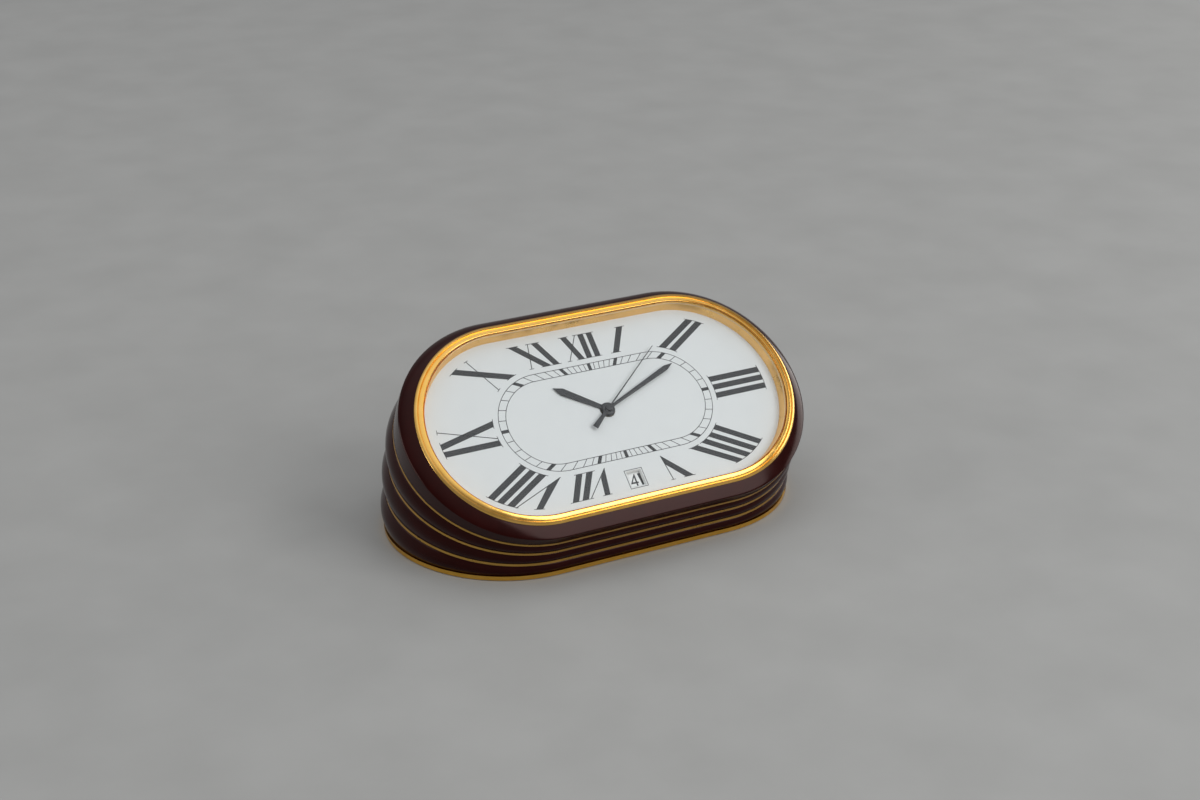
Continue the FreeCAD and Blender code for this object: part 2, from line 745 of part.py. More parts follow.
def build_base():
    """Gilt base plate with the bayonet opening of the hatch, and the felt under it."""
    body = new_body("base_plate")
    sketch = new_sketch(body, ("0", "0", dim("felt_thickness")))
    draw_oval(sketch, BASE_EDGE)
    pad(body, sketch, dim("base_thickness"))
    bore(body, dim("hatch_radius"), BASE_TOP, dim("base_thickness"))
    for turn in NOTCH_ANGLES:
        notch = new_sketch(body, ("0", "0", BASE_TOP), turn=turn)
        draw_rectangle(notch, f"2 * ({LUG_CIRCLE} + Sizes.air_gap)",
                       "Sizes.hatch_lug_width + 2 * Sizes.air_gap")
        pocket(body, notch, dim("base_thickness"))
    for at in BASE_SCREWS:
        bore(body, dim("base_screw_radius"), BASE_TOP, dim("base_thickness"), at)
        bore(body, dim("base_screw_head_radius"),
             "Sizes.felt_thickness + Sizes.base_screw_head_height",
             dim("base_screw_head_height"), at)
    stand(body)
    felt = new_body("felt_sheet")
    sketch = new_sketch(felt)
    draw_oval(sketch, f"{BASE_EDGE} - Sizes.felt_margin", tag="edge")
    draw_circle(sketch, f"{LUG_CIRCLE} + Sizes.felt_margin")
    pad(felt, sketch, dim("felt_thickness"))
    stand(felt)
    screws = [screw((x, y, dim("felt_thickness")), dim("base_screw_radius"),
                    f"{BASE_TOP} + Sizes.base_screw_grip - Sizes.felt_thickness"
                    " - Sizes.base_screw_head_height",
                    dim("base_screw_head_radius"), dim("base_screw_head_height"), False)
              for x, y in BASE_SCREWS]
    stand(group(screws, "base_screws"))


def build_hatch():
    """Round battery hatch: a disc with a coin slot and six bayonet lugs over the base plate."""
    body = new_body("battery_hatch")
    pad_circle(body, "Sizes.hatch_radius - Sizes.air_gap", dim("felt_thickness"),
               "Sizes.base_thickness + Sizes.air_gap")
    for turn in LUG_ANGLES:
        lugs = new_sketch(body, ("0", "0", LUG_BOTTOM), turn=turn)
        draw_rectangle(lugs, f"2 * {LUG_CIRCLE}", dim("hatch_lug_width"))
        pad(body, lugs, dim("hatch_lug_thickness"))
    slot = new_sketch(body, ("0", "0", "Sizes.felt_thickness + Sizes.coin_slot_depth"))
    draw_rectangle(slot, dim("coin_slot_length"), dim("coin_slot_width"))
    pocket(body, slot, dim("coin_slot_depth"))
    stand(body)


def roll_lifts(turn):
    """Distance of a gadroon's lower and upper face from their fan planes."""
    below = "(Sizes.band_thickness / 2)" if turn else f"({BASE_TOP} - Sizes.fan_height)"
    above = dim("crown_rise") if turn == CROWN else "(-Sizes.band_thickness / 2)"
    return below, above


def roll_section(body, turn, share, radius, shift):
    """Oval of a gadroon at a share of its height, shifted back along its fan plane."""
    below, above = roll_lifts(turn)
    lift = f"({below} * (1 - {share}) + {above} * {share})"
    sketch = fan_sketch(body, f"({turn} + {share})", lift, shift)
    return draw_oval(sketch, radius)


def build_gadroon(turn):
    """One lacquered gadroon between two fan planes, swollen between its gilt lines."""
    body = new_body(f"gadroon_{turn + 1}")
    sections = []
    for step in range(ROLL_STEPS + 1):
        share = f"({step} / {ROLL_STEPS})"
        swell = f"(Sizes.roll_swell * sin(180 * {share}))"
        shift = f"({swell} * {BAND} / Sizes.fan_reach)"
        sections.append(roll_section(body, turn, share, f"{BAND} + {swell}", shift))
    loft(body, sections)
    hollow = []
    for share in ("(-0.1)", "0.5", "1.1"):
        sketch = fan_sketch(body, f"({turn} + {share})")
        hollow.append(draw_oval(sketch, BORE))
    loft(body, hollow, cut=True)
    if turn == 0:
        for at in BASE_SCREWS:
            bore(body, dim("base_screw_radius"), f"{BASE_TOP} + Sizes.base_screw_grip",
                 dim("base_screw_grip"), at)
    stand(body)


def build_crown():
    """Top gadroon: a steep wall up to its arris, a flat roll over to the bezel, and the
    ledge that carries the holder."""
    body = new_body("gadroon_4")
    wall = []
    for part in (0, 0.33, 0.67, 1):
        share = f"({part} * Sizes.crown_equator)"
        radius = f"({BAND} + Sizes.crown_swell * sin(90 * {part}))"
        wall.append(roll_section(body, CROWN, share, radius, "0"))
    loft(body, wall)
    roll = []
    for angle in (0, 22, 45, 68, 90):
        out = f"cos({angle}) ^ Sizes.crown_flatness"
        up = f"sin({angle}) ^ Sizes.crown_flatness"
        share = f"(Sizes.crown_equator + (1 - Sizes.crown_equator) * {up})"
        radius = f"({CROWN_SEAT} + ({BAND} + Sizes.crown_swell - {CROWN_SEAT}) * {out})"
        roll.append(roll_section(body, CROWN, share, radius, "0"))
    loft(body, roll)
    rebate = fan_sketch(body, FACE_TURNS, dim("crown_rise"))
    draw_oval(rebate, BORE)
    pocket(body, rebate, f"Sizes.crown_rise - {HOLDER_BOTTOM}")
    throat = fan_sketch(body, FACE_TURNS, dim("crown_rise"))
    draw_oval(throat, THROAT)
    pocket(body, throat, dim("fan_reach"))
    for across, up in HOLDER_SCREWS:
        hole = fan_sketch(body, FACE_TURNS, HOLDER_BOTTOM, up, across)
        draw_circle(hole, dim("screw_radius"))
        pocket(body, hole, dim("screw_grip"))
    stand(body)


def build_case():
    build_base()
    build_hatch()
    for turn in range(CROWN):
        build_gadroon(turn)
    build_crown()
    for turn in range(1, CROWN + 1):
        band = oval_ring(f"gilt_band_{turn}", BAND, BORE, "-Sizes.band_thickness / 2",
                         dim("band_thickness"))
        seat_in_fan(band, str(turn))


# ---------------------------------------------------------------- bezel, lens and dial

def swept_ring(label, radius, outline):
    """Ring swept round an oval of the face; its outline counts heights from the dial."""
    body = new_body(label)
    spine = new_sketch(body)
    draw_oval(spine, radius)
    profile = new_sketch(body, ("0", f"-{dim('dial_depth')}", "0"), role="YZ_Plane")
    draw_outline(profile, outline)
    pipe = body.newObject("PartDesign::AdditivePipe", f"{label}_pipe")
    pipe.Profile = profile
    pipe.Spine = (spine, ["Edge1", "Edge2", "Edge3", "Edge4", "Edge5"])
    seat_in_face(body)


def build_bezel():
    """Gilt bezel: a narrow outer bead, a groove and a wider inner bead that ends in the lip."""
    foot = "(Sizes.dial_depth + Sizes.crown_rise)"
    bead = f"({foot} + Sizes.bead_height)"
    seat = f"({foot} - Sizes.lens_drop + Sizes.gasket_thickness)"
    swept_ring("bezel", REBATE, [
        (REBATE, "0"),
        (BEZEL_TUBE, "0"),
        (BEZEL_TUBE, foot),
        (BEZEL_FOOT, foot),
        (BEZEL_EDGE, bead),
        (GROOVE, bead, "Sizes.bead_width * Sizes.bead_roundness"),
        (LIP, f"{foot} + Sizes.lip_height", "Sizes.inner_bead_width * Sizes.bead_roundness"),
        (LIP, seat),
        (REBATE, seat),
    ])


def build_front():
    """Lens with its gasket, sloping inner gilt ring and the dial with its date window."""
    lens = new_body("crystal")
    sketch = new_sketch(lens, ("0", "0", LENS_BOTTOM))
    draw_oval(sketch, LENS_EDGE)
    pad(lens, sketch, dim("lens_thickness"))
    gasket = oval_ring("crystal_gasket", LENS_EDGE, f"{LENS_EDGE} - Sizes.gasket_width",
                       LENS_TOP, dim("gasket_thickness"))
    rim = f"(Sizes.dial_depth + {LENS_BOTTOM})"
    swept_ring("rehaut_ring", LENS_EDGE, [
        (REHAUT_FOOT, "0"),
        (LENS_EDGE, "0"),
        (LENS_EDGE, rim),
        (REHAUT_RIM, rim),
    ])
    dial = new_body("dial")
    sketch = new_sketch(dial, ("0", "0", DIAL_BOTTOM))
    draw_oval(sketch, f"{BORE} - Sizes.air_gap", tag="edge")
    draw_circle(sketch, f"{HOUR_PIPE} + Sizes.air_gap")
    pad(dial, sketch, dim("dial_thickness"))
    window = []
    for level, grow in ((DIAL_BOTTOM, "0"), (DIAL_TOP, "2 * Sizes.window_bevel")):
        sketch = new_sketch(dial, ("0", f"Sizes.window_inset - {DATE_RING_EDGE}", level))
        draw_rectangle(sketch, f"Sizes.window_width + {grow}", f"Sizes.window_height + {grow}")
        window.append(sketch)
    loft(dial, window, smooth=False, cut=True)
    for body in (lens, gasket, dial):
        seat_in_face(body)


# ---------------------------------------------------------------- movement frame

def build_holder():
    """Plastic holder: an oval plate under the dial and a skirt round the movement."""
    body = new_body("movement_holder")
    sketch = new_sketch(body, ("0", "0", HOLDER_BOTTOM))
    draw_oval(sketch, f"{BORE} - Sizes.air_gap", tag="edge")
    draw_circle(sketch, SKIRT_BORE)
    pad(body, sketch, dim("holder_thickness"))
    skirt = new_sketch(body, ("0", "0", f"{UPPER_PIVOT}"))
    draw_circle(skirt, SKIRT, tag="outer")
    draw_circle(skirt, SKIRT_BORE, tag="inner")
    pad(body, skirt, f"{HOLDER_BOTTOM} - {UPPER_PIVOT}")
    for at in HOLDER_SCREWS:
        bore(body, dim("screw_radius"), DIAL_BOTTOM, dim("holder_thickness"), at)
        bore(body, dim("screw_head_radius"), DIAL_BOTTOM, dim("screw_head_height"), at)
    seat_in_face(body)
    screws = [screw((x, y, f"{HOLDER_BOTTOM} - Sizes.screw_grip"), dim("screw_radius"),
                    "Sizes.screw_grip + Sizes.holder_thickness - Sizes.screw_head_height",
                    dim("screw_head_radius"), dim("screw_head_height"), True)
              for x, y in HOLDER_SCREWS]
    seat_in_face(group(screws, "holder_screws"))


def build_main_plate():
    """Main plate: rim round the date ring, motion-work pocket, flange, pillars and pivot holes."""
    body = new_body("main_plate")
    pad_circle(body, dim("movement_radius"), PLATE_BOTTOM, f"{RING_TOP} - {PLATE_BOTTOM}")
    pad_circle(body, SKIRT, PLATE_BOTTOM, dim("flange_thickness"))
    for at in PILLARS:
        pad_circle(body, dim("pillar_radius"), BRIDGE_TOP, dim("train_height"), at)
    seat = f"({BRIDGE_BOTTOM} + Sizes.battery_height)"
    pad_circle(body, dim("battery_seat_radius"), seat, f"{PLATE_BOTTOM} - {seat}", BATTERY_AT)
    bore(body, f"{DATE_RING_EDGE} + Sizes.running_gap", RING_TOP, f"{RING_TOP} - {LAND}")
    bore(body, dim("motion_pocket_radius"), LAND, f"{LAND} - {POCKET_FLOOR}")
    bore(body, CANNON_BORE, POCKET_FLOOR, dim("plate_thickness"))
    for at in (MINUTE_AT, DRIVER_AT, THIRD_AT, STEP_AT, ROTOR_AT):
        bore(body, PIVOT_HOLE, POCKET_FLOOR, dim("plate_thickness"), at)
    bore(body, STEM_HOLE, POCKET_FLOOR, dim("plate_thickness"), SETTING_AT)
    bore(body, CORRECTOR_HOLE, POCKET_FLOOR, dim("plate_thickness"), CORRECTOR_AT)
    for at in PILLARS:
        bore(body, dim("screw_radius"), f"{BRIDGE_TOP} + Sizes.screw_grip", dim("screw_grip"), at)
    seat_in_face(body)


def build_bridge():
    """Train bridge under the wheels, with openings for battery and coil, and the screws."""
    body = new_body("train_bridge")
    pad_circle(body, "Sizes.movement_radius - Sizes.bridge_inset", BRIDGE_BOTTOM,
               dim("plate_thickness"))
    bore(body, "Sizes.battery_radius + Sizes.air_gap", BRIDGE_TOP, dim("plate_thickness"),
         BATTERY_AT)
    opening = new_sketch(body, (COIL_AT[0], COIL_AT[1], BRIDGE_TOP))
    draw_rectangle(opening, "2 * (Sizes.coil_radius + Sizes.air_gap)",
                   "Sizes.coil_length + 2 * Sizes.air_gap")
    pocket(body, opening, dim("plate_thickness"))
    for at in (CENTRE, THIRD_AT, STEP_AT, ROTOR_AT):
        bore(body, PIVOT_HOLE, BRIDGE_TOP, dim("plate_thickness"), at)
    bore(body, STEM_HOLE, BRIDGE_TOP, dim("plate_thickness"), SETTING_AT)
    bore(body, CORRECTOR_HOLE, BRIDGE_TOP, dim("plate_thickness"), CORRECTOR_AT)
    for at in PILLARS + [STRAP_SCREW_AT]:
        bore(body, dim("screw_radius"), BRIDGE_TOP, dim("plate_thickness"), at)
    seat_in_face(body)
    screws = [screw((x, y, f"{BRIDGE_BOTTOM} - Sizes.screw_head_height"), dim("screw_radius"),
                    "Sizes.screw_grip + Sizes.plate_thickness", dim("screw_head_radius"),
                    dim("screw_head_height"), False)
              for x, y in PILLARS]
    seat_in_face(group(screws, "movement_screws"))


def build_motor():
    """Stator plate round the rotor, and the coil on its core across the stator's legs."""
    strip = block(dim("stator_width"), dim("stator_length"), dim("stator_thickness"),
                  (ROTOR_AT[0], ROTOR_AT[1], BRIDGE_TOP))
    leg_at = "(Sizes.stator_length / 2 - Sizes.stator_leg_width / 2)"
    leg_length = "(Sizes.coil_spacing + Sizes.core_width / 2)"
    legs = [block(leg_length, dim("stator_leg_width"), dim("stator_thickness"),
                  (f"{ROTOR_AT[0]} - {leg_length} / 2", f"{ROTOR_AT[1]} + {side} * {leg_at}",
                   BRIDGE_TOP))
            for side in (-1, 1)]
    eye = cylinder("Sizes.rotor_radius + Sizes.air_gap", dim("stator_thickness"),
                   (ROTOR_AT[0], ROTOR_AT[1], BRIDGE_TOP))
    seat_in_face(keep(cut_from(fuse([strip] + legs), eye, "stator"), "stator"))
    core_z = f"({BRIDGE_TOP} + Sizes.stator_thickness)"
    core = block(dim("core_width"), dim("stator_length"), dim("stator_thickness"),
                 (COIL_AT[0], COIL_AT[1], core_z))
    seat_in_face(group([core], "coil_core"))
    wound = cut_from(cylinder(dim("coil_radius"), dim("coil_length")),
                     cylinder(dim("coil_bore_radius"), dim("coil_length")))
    bind(wound, "Placement.Rotation.Axis.x", "1")
    bind(wound, "Placement.Rotation.Axis.y", "0")
    bind(wound, "Placement.Rotation.Axis.z", "0")
    bind(wound, "Placement.Rotation.Angle", "-90")
    bind(wound, "Placement.Base.x", COIL_AT[0])
    bind(wound, "Placement.Base.y", f"{COIL_AT[1]} - Sizes.coil_length / 2")
    bind(wound, "Placement.Base.z", f"{core_z} + Sizes.stator_thickness / 2")
    seat_in_face(group([wound], "coil_winding"))


def build_circuit():
    """Circuit board under the bridge with its chip and quartz, and the battery with its strap."""
    board_z = f"({BRIDGE_BOTTOM} - Sizes.board_thickness)"
    board = block(dim("board_width"), dim("board_depth"), dim("board_thickness"),
                  (dim("board_x"), dim("board_y"), board_z))
    seat_in_face(group([board], "circuit_board"))
    chip = block(dim("chip_side"), dim("chip_side"), dim("chip_height"),
                 ("Sizes.board_x - Sizes.board_width / 4", dim("board_y"),
                  f"{board_z} - Sizes.chip_height"))
    seat_in_face(group([chip], "circuit_chip"))
    can = cylinder(dim("quartz_radius"), dim("quartz_length"))
    bind(can, "Placement.Rotation.Axis.x", "0")
    bind(can, "Placement.Rotation.Axis.y", "1")
    bind(can, "Placement.Rotation.Axis.z", "0")
    bind(can, "Placement.Rotation.Angle", "90")
    bind(can, "Placement.Base.x", "Sizes.board_x + Sizes.air_gap")
    bind(can, "Placement.Base.y", "Sizes.board_y + Sizes.board_depth / 4")
    bind(can, "Placement.Base.z", f"{board_z} - Sizes.quartz_radius")
    seat_in_face(group([can], "quartz_can"))
    cell = cylinder(dim("battery_radius"), dim("battery_height"),
                    (BATTERY_AT[0], BATTERY_AT[1], BRIDGE_BOTTOM))
    seat_in_face(group([cell], "battery"))
    strap_z = f"({BRIDGE_BOTTOM} - Sizes.strap_thickness)"
    strap = block(dim("strap_length"), dim("strap_width"), dim("strap_thickness"),
                  (STRAP_AT[0], STRAP_AT[1], strap_z))
    hole = cylinder(dim("screw_radius"), dim("strap_thickness"),
                    (STRAP_SCREW_AT[0], STRAP_SCREW_AT[1], strap_z))
    seat_in_face(keep(cut_from(strap, hole, "battery_strap"), "battery_strap"))
    fixing = screw((STRAP_SCREW_AT[0], STRAP_SCREW_AT[1], f"{strap_z} - Sizes.screw_head_height"),
                   dim("screw_radius"), "Sizes.strap_thickness + Sizes.plate_thickness",
                   dim("screw_head_radius"), dim("screw_head_height"), False)
    seat_in_face(group([fixing], "strap_screw"))


# ---------------------------------------------------------------- wheels

def build_motion_works():
    """Cannon pinion, minute wheel, hour wheel, date driver and the setting stem."""
    thick = dim("wheel_thickness")
    module = dim("motion_module")
    cannon_phase = 0
    cannon = gear(dim("cannon_teeth"), module, cannon_phase, MINUTE_LEVEL, thick)
    pipe = rod(CANNON, MINUTE_LEVEL, f"{MINUTE_HAND} + Sizes.hand_thickness")
    turned_piece("cannon_pinion", [cannon, pipe], rod(CANNON_BORE, POCKET_FLOOR, LENS_BOTTOM))

    minute_phase = mesh_phase(cannon_phase, dim("cannon_teeth"), dim("minute_wheel_teeth"),
                              MINUTE_DIRECTION)
    wheel = gear(dim("minute_wheel_teeth"), module, minute_phase, MINUTE_LEVEL, thick)
    pinion = gear(dim("minute_pinion_teeth"), HOUR_MODULE, minute_phase, HOUR_LEVEL, thick)
    arbor = rod(dim("arbor_radius"), UPPER_PIVOT, f"{HOUR_LEVEL} + {thick}")
    turned_piece("minute_wheel", [arbor, wheel, pinion], at=MINUTE_AT)

    hour_phase = mesh_phase(minute_phase, dim("minute_pinion_teeth"), dim("hour_wheel_teeth"),
                            MINUTE_DIRECTION + 180)
    wheel = gear(dim("hour_wheel_teeth"), HOUR_MODULE, hour_phase, HOUR_LEVEL, thick)
    pinion = gear(dim("hour_pinion_teeth"), module, hour_phase, DRIVER_LEVEL, thick)
    pipe = rod(HOUR_PIPE, HOUR_LEVEL, f"{HOUR_HAND} + Sizes.hand_thickness")
    turned_piece("hour_wheel", [pipe, wheel, pinion], rod(HOUR_BORE, POCKET_FLOOR, LENS_BOTTOM))

    driver_phase = mesh_phase(hour_phase, dim("hour_pinion_teeth"), dim("date_driver_teeth"),
                              DRIVER_DIRECTION)
    wheel = gear(dim("date_driver_teeth"), module, driver_phase, DRIVER_LEVEL, thick)
    arbor = rod(dim("arbor_radius"), UPPER_PIVOT, RING_TOP)
    reach = value(f"{DATE_TIP} - {DRIVER_DISTANCE} - Sizes.air_gap")
    width = value(dim("finger_width"))
    finger = Part.makeBox(reach, width, value(f"{RING_TOP} - {DRIVER_LEVEL}"),
                          V(0, -width / 2, value(DRIVER_LEVEL)))
    turned_piece("date_driver", [arbor, wheel, finger], at=DRIVER_AT)

    setting_phase = mesh_phase(minute_phase, dim("minute_wheel_teeth"),
                               dim("setting_pinion_teeth"), MINUTE_DIRECTION)
    pinion = gear(dim("setting_pinion_teeth"), module, setting_phase, MINUTE_LEVEL, thick)
    stem = rod(dim("setting_stem_radius"), KNOB_TOP, f"{MINUTE_LEVEL} + {thick}")
    turned_piece("setting_stem", [stem, pinion], at=SETTING_AT)


def build_train():
    """Going train from the rotor to the centre wheel; the seconds arbor passes the centre pipe."""
    thick = dim("wheel_thickness")
    teeth = dim("pinion_teeth")
    centre_phase = 0
    wheel = gear(dim("centre_teeth"), dim("train_module"), centre_phase, CENTRE_LEVEL, thick)
    pipe = rod(CENTRE_PIPE, CENTRE_LEVEL, f"{MINUTE_HAND} + Sizes.hand_thickness")
    turned_piece("centre_wheel", [pipe, wheel], rod(PIVOT_HOLE, THIRD_LEVEL, LENS_BOTTOM))

    third_phase = mesh_phase(centre_phase, dim("centre_teeth"), teeth, THIRD_DIRECTION)
    arbor = rod(dim("arbor_radius"), LOWER_PIVOT, UPPER_PIVOT)
    pinion = gear(teeth, dim("train_module"), third_phase, CENTRE_LEVEL, thick)
    wheel = gear(dim("third_teeth"), THIRD_MODULE, third_phase, THIRD_LEVEL, thick)
    turned_piece("third_wheel", [arbor, pinion, wheel], at=THIRD_AT)

    seconds_phase = mesh_phase(third_phase, dim("third_teeth"), teeth, THIRD_DIRECTION + 180)
    arbor = rod(dim("arbor_radius"), LOWER_PIVOT, f"{SECONDS_HAND} + Sizes.seconds_hand_thickness")
    pinion = gear(teeth, THIRD_MODULE, seconds_phase, THIRD_LEVEL, thick)
    wheel = gear(dim("seconds_teeth"), dim("step_module"), seconds_phase, SECONDS_LEVEL, thick)
    turned_piece("seconds_wheel", [arbor, pinion, wheel])

    step_phase = mesh_phase(seconds_phase, dim("seconds_teeth"), teeth, STEP_DIRECTION)
    arbor = rod(dim("arbor_radius"), LOWER_PIVOT, UPPER_PIVOT)
    pinion = gear(teeth, dim("step_module"), step_phase, SECONDS_LEVEL, thick)
    wheel = gear(dim("step_teeth"), dim("rotor_module"), step_phase, STEP_LEVEL, thick)
    turned_piece("step_wheel", [arbor, pinion, wheel], at=STEP_AT)

    rotor_phase = mesh_phase(step_phase, dim("step_teeth"), dim("rotor_pinion_teeth"),
                             ROTOR_DIRECTION)
    arbor = rod(dim("arbor_radius"), LOWER_PIVOT, UPPER_PIVOT)
    pinion = gear(dim("rotor_pinion_teeth"), dim("rotor_module"), rotor_phase, STEP_LEVEL, thick)
    magnet_low = f"({BRIDGE_TOP} + Sizes.fit_gap)"
    magnet = rod(dim("rotor_radius"), magnet_low, f"{magnet_low} + Sizes.rotor_height")
    turned_piece("rotor", [arbor, pinion, magnet], at=ROTOR_AT)


DATE_PHASE = 4.0
DATE_ROOT_SHARE = 0.34


def build_calendar():
    """Date ring with inner teeth, and the jumper spring that stops an air gap short of them."""
    ring = rod(DATE_RING_EDGE, RING_BOTTOM, RING_TOP)
    hollow = toothed_face(int(value(dim("date_teeth"))), value(DATE_TIP), value(DATE_ROOT),
                          DATE_PHASE, DATE_ROOT_SHARE)
    hollow.translate(V(0, 0, value(RING_BOTTOM)))
    turned_piece("date_ring", [ring], hollow.extrude(V(0, 0, value(RING_TOP) - value(RING_BOTTOM))))

    post_distance = value(f"{DATE_TIP} - Sizes.jumper_post_inset")
    post = rod(dim("jumper_post_radius"), POCKET_FLOOR, RING_TOP)
    width = value(dim("jumper_arm_width"))
    reach = value(f"{DATE_TIP} - Sizes.air_gap")
    half_turn = math.degrees(math.acos(post_distance / reach))
    length = math.sqrt(reach ** 2 - post_distance ** 2)
    arm = Part.makeBox(width, length, value(dim("date_ring_thickness")),
                       V(-width / 2, 0, value(RING_BOTTOM)))
    jumper = post.fuse(arm)
    jumper.translate(V(post_distance, 0, 0))
    jumper.rotate(V(0, 0, 0), FACE_UP, half_turn)
    turned_piece("date_jumper", [jumper])


def build_controls():
    """Knurled setting knob on its stem, and the push pin that steps the date."""
    knob = new_body("setting_knob")
    pad_circle(knob, dim("setting_knob_radius"), KNOB_BOTTOM, dim("setting_knob_height"),
               SETTING_AT)
    knurl = new_sketch(knob, (SETTING_AT[0], f"{SETTING_AT[1]} + Sizes.setting_knob_radius",
                              KNOB_TOP))
    draw_circle(knurl, dim("knurl_radius"))
    groove = pocket(knob, knurl, dim("setting_knob_height"))
    axis = new_sketch(knob, (SETTING_AT[0], SETTING_AT[1], "0"))
    pattern = knob.newObject("PartDesign::PolarPattern", "knurls")
    pattern.Originals = [groove]
    pattern.Axis = (axis, ["N_Axis"])
    pattern.Angle = 360
    bind(pattern, "Occurrences", dim("knurl_count"))
    knob.Tip = pattern
    seat_in_face(knob)
    pin = cylinder(dim("corrector_radius"), f"{POCKET_FLOOR} - {CORRECTOR_END}",
                   (CORRECTOR_AT[0], CORRECTOR_AT[1], CORRECTOR_END))
    cap = cylinder(dim("corrector_cap_radius"), dim("corrector_cap_height"),
                   (CORRECTOR_AT[0], CORRECTOR_AT[1],
                    f"{CORRECTOR_END} - Sizes.corrector_cap_height"))
    seat_in_face(keep(fuse([pin, cap], "date_corrector"), "date_corrector"))


# ---------------------------------------------------------------- hands

def hand(label, level, thickness, angle, boss, hole, blades):
    """Flat hand: blades and a boss on one hub, turned clockwise from twelve o'clock."""
    body = new_body(label)
    pad_circle(body, boss, level, thickness)
    for stations, tip, turn in blades:
        sketch = new_sketch(body, ("0", "0", level), turn=f"({turn} - {angle})")
        draw_blade(sketch, stations, tip)
        pad(body, sketch, thickness)
    bore(body, hole, f"{level} + {thickness}", thickness)
    seat_in_face(body)


def pointed(name, hole):
    """Stations of a blade that widens from the hub to its shoulder, then its point."""
    length = f"Sizes.{name}_length"
    shoulder = f"({length} - Sizes.{name}_point)"
    return [(hole, f"Sizes.{name}_neck"), (shoulder, f"Sizes.{name}_width")], length


def build_hands():
    minute, minute_tip = pointed("minute_hand", CANNON)
    hour, hour_tip = pointed("hour_hand", HOUR_PIPE)
    hand("hour_hand", HOUR_HAND, dim("hand_thickness"), dim("hour_angle"),
         dim("hour_boss_radius"), HOUR_PIPE, [(hour, hour_tip, "0")])
    hand("minute_hand", MINUTE_HAND, dim("hand_thickness"), dim("minute_angle"),
         dim("minute_boss_radius"), CANNON, [(minute, minute_tip, "0")])
    needle = [(dim("arbor_radius"), dim("seconds_hand_width")),
              (dim("seconds_hand_length"), dim("seconds_tip_width"))]
    tail = [(dim("arbor_radius"), dim("seconds_tail_neck")),
            (dim("seconds_tail_length"), dim("seconds_tail_width"))]
    hand("seconds_hand", SECONDS_HAND, dim("seconds_hand_thickness"), dim("seconds_angle"),
         dim("seconds_boss_radius"), dim("arbor_radius"),
         [(needle, None, "0"), (tail, None, "180")])


# ---------------------------------------------------------------- checks and files

def check_model():
    """Stop if any object failed, any cut removed nothing or any piece isn't a valid solid."""
    doc.recompute()
    for thing in doc.Objects:
        if {"Invalid", "Error"} & set(thing.State):
            raise RuntimeError(f"{thing.Name} failed: {thing.State}")
    for cut in CUTS:
        if cut.Shape.Volume > cut.BaseFeature.Shape.Volume - 1e-6:
            raise RuntimeError(f"{cut.Name} cuts nothing")
    for node in NODES:
        shape = node.Shape
        if shape.isNull() or not shape.isValid() or not shape.Solids:
            raise RuntimeError(f"{node.Label} is not a valid solid")


def write_parts():
    os.makedirs("parts", exist_ok=True)
    for node in NODES:
        node.Shape.exportStep(f"parts/{node.Label}.step")
        solids = len(node.Shape.Solids)
        print(f"{node.Label}: {solids} solid(s), {node.Shape.Volume:.3f} mm3")


build_case()
build_bezel()
build_front()
build_holder()
build_main_plate()
build_bridge()
build_motor()
build_circuit()
build_motion_works()
build_train()
build_calendar()
build_controls()
build_hands()
check_model()
write_parts()
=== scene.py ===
import json
import math
import bpy
from mathutils import Matrix, Vector


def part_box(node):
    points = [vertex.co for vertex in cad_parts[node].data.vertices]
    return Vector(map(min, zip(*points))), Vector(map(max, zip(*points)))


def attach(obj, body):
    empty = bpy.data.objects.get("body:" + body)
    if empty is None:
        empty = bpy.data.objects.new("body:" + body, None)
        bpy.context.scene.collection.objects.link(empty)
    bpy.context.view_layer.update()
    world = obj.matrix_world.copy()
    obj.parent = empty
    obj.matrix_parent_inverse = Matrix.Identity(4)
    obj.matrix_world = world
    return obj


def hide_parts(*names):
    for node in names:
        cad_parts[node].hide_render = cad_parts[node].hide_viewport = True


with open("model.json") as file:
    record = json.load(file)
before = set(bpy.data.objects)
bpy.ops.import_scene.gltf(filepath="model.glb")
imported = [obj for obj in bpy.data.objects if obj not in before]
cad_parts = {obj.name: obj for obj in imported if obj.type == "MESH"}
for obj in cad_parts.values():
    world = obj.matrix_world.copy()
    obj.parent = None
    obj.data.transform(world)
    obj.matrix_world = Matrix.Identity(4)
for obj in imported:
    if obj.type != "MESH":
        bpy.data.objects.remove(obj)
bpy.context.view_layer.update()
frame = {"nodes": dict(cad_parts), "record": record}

# Lengths below are millimetres unless a name says otherwise; MM turns them into metres.
MM = 0.001
NODES = frame["nodes"]


# ---------------------------------------------------------------- frames of the clock

HALF = 22.2                 # half the straight run of every oval
REACH = 46.3                # fan axis to the middle of the base plate
FAN_HEIGHT = 0.7            # level of the fan axis over the desk
FAN_STEP = 9.63             # degrees between two planes of the fan
BAND = 0.6                  # thickness of a gilt band
BAND_RADIUS = 28.7          # end radius of a gilt band's outline
BORE_RADIUS = 24.9          # end radius of the bore through the gadroons
BASE_TOP = 1.2              # top of the base plate over the desk
FACE_TURNS = 4              # steps of the fan from the desk to the face

# Levels in the face frame, counted along the dial's normal.
LENS_BOTTOM = 0.1
DIAL_TOP = -1.74
DATE_TOP = -2.54
HOLDER_BOTTOM = -4.24

base_low, base_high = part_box("base_plate")
BASE_Y = (base_low[1] + base_high[1]) / 2 / MM
PIVOT = Vector((0, BASE_Y - REACH, FAN_HEIGHT))


def fan_axes(turns):
    """Back and up directions of the fan plane at a number of steps."""
    angle = math.radians(turns * FAN_STEP)
    return (Vector((0, math.cos(angle), math.sin(angle))),
            Vector((0, -math.sin(angle), math.cos(angle))))


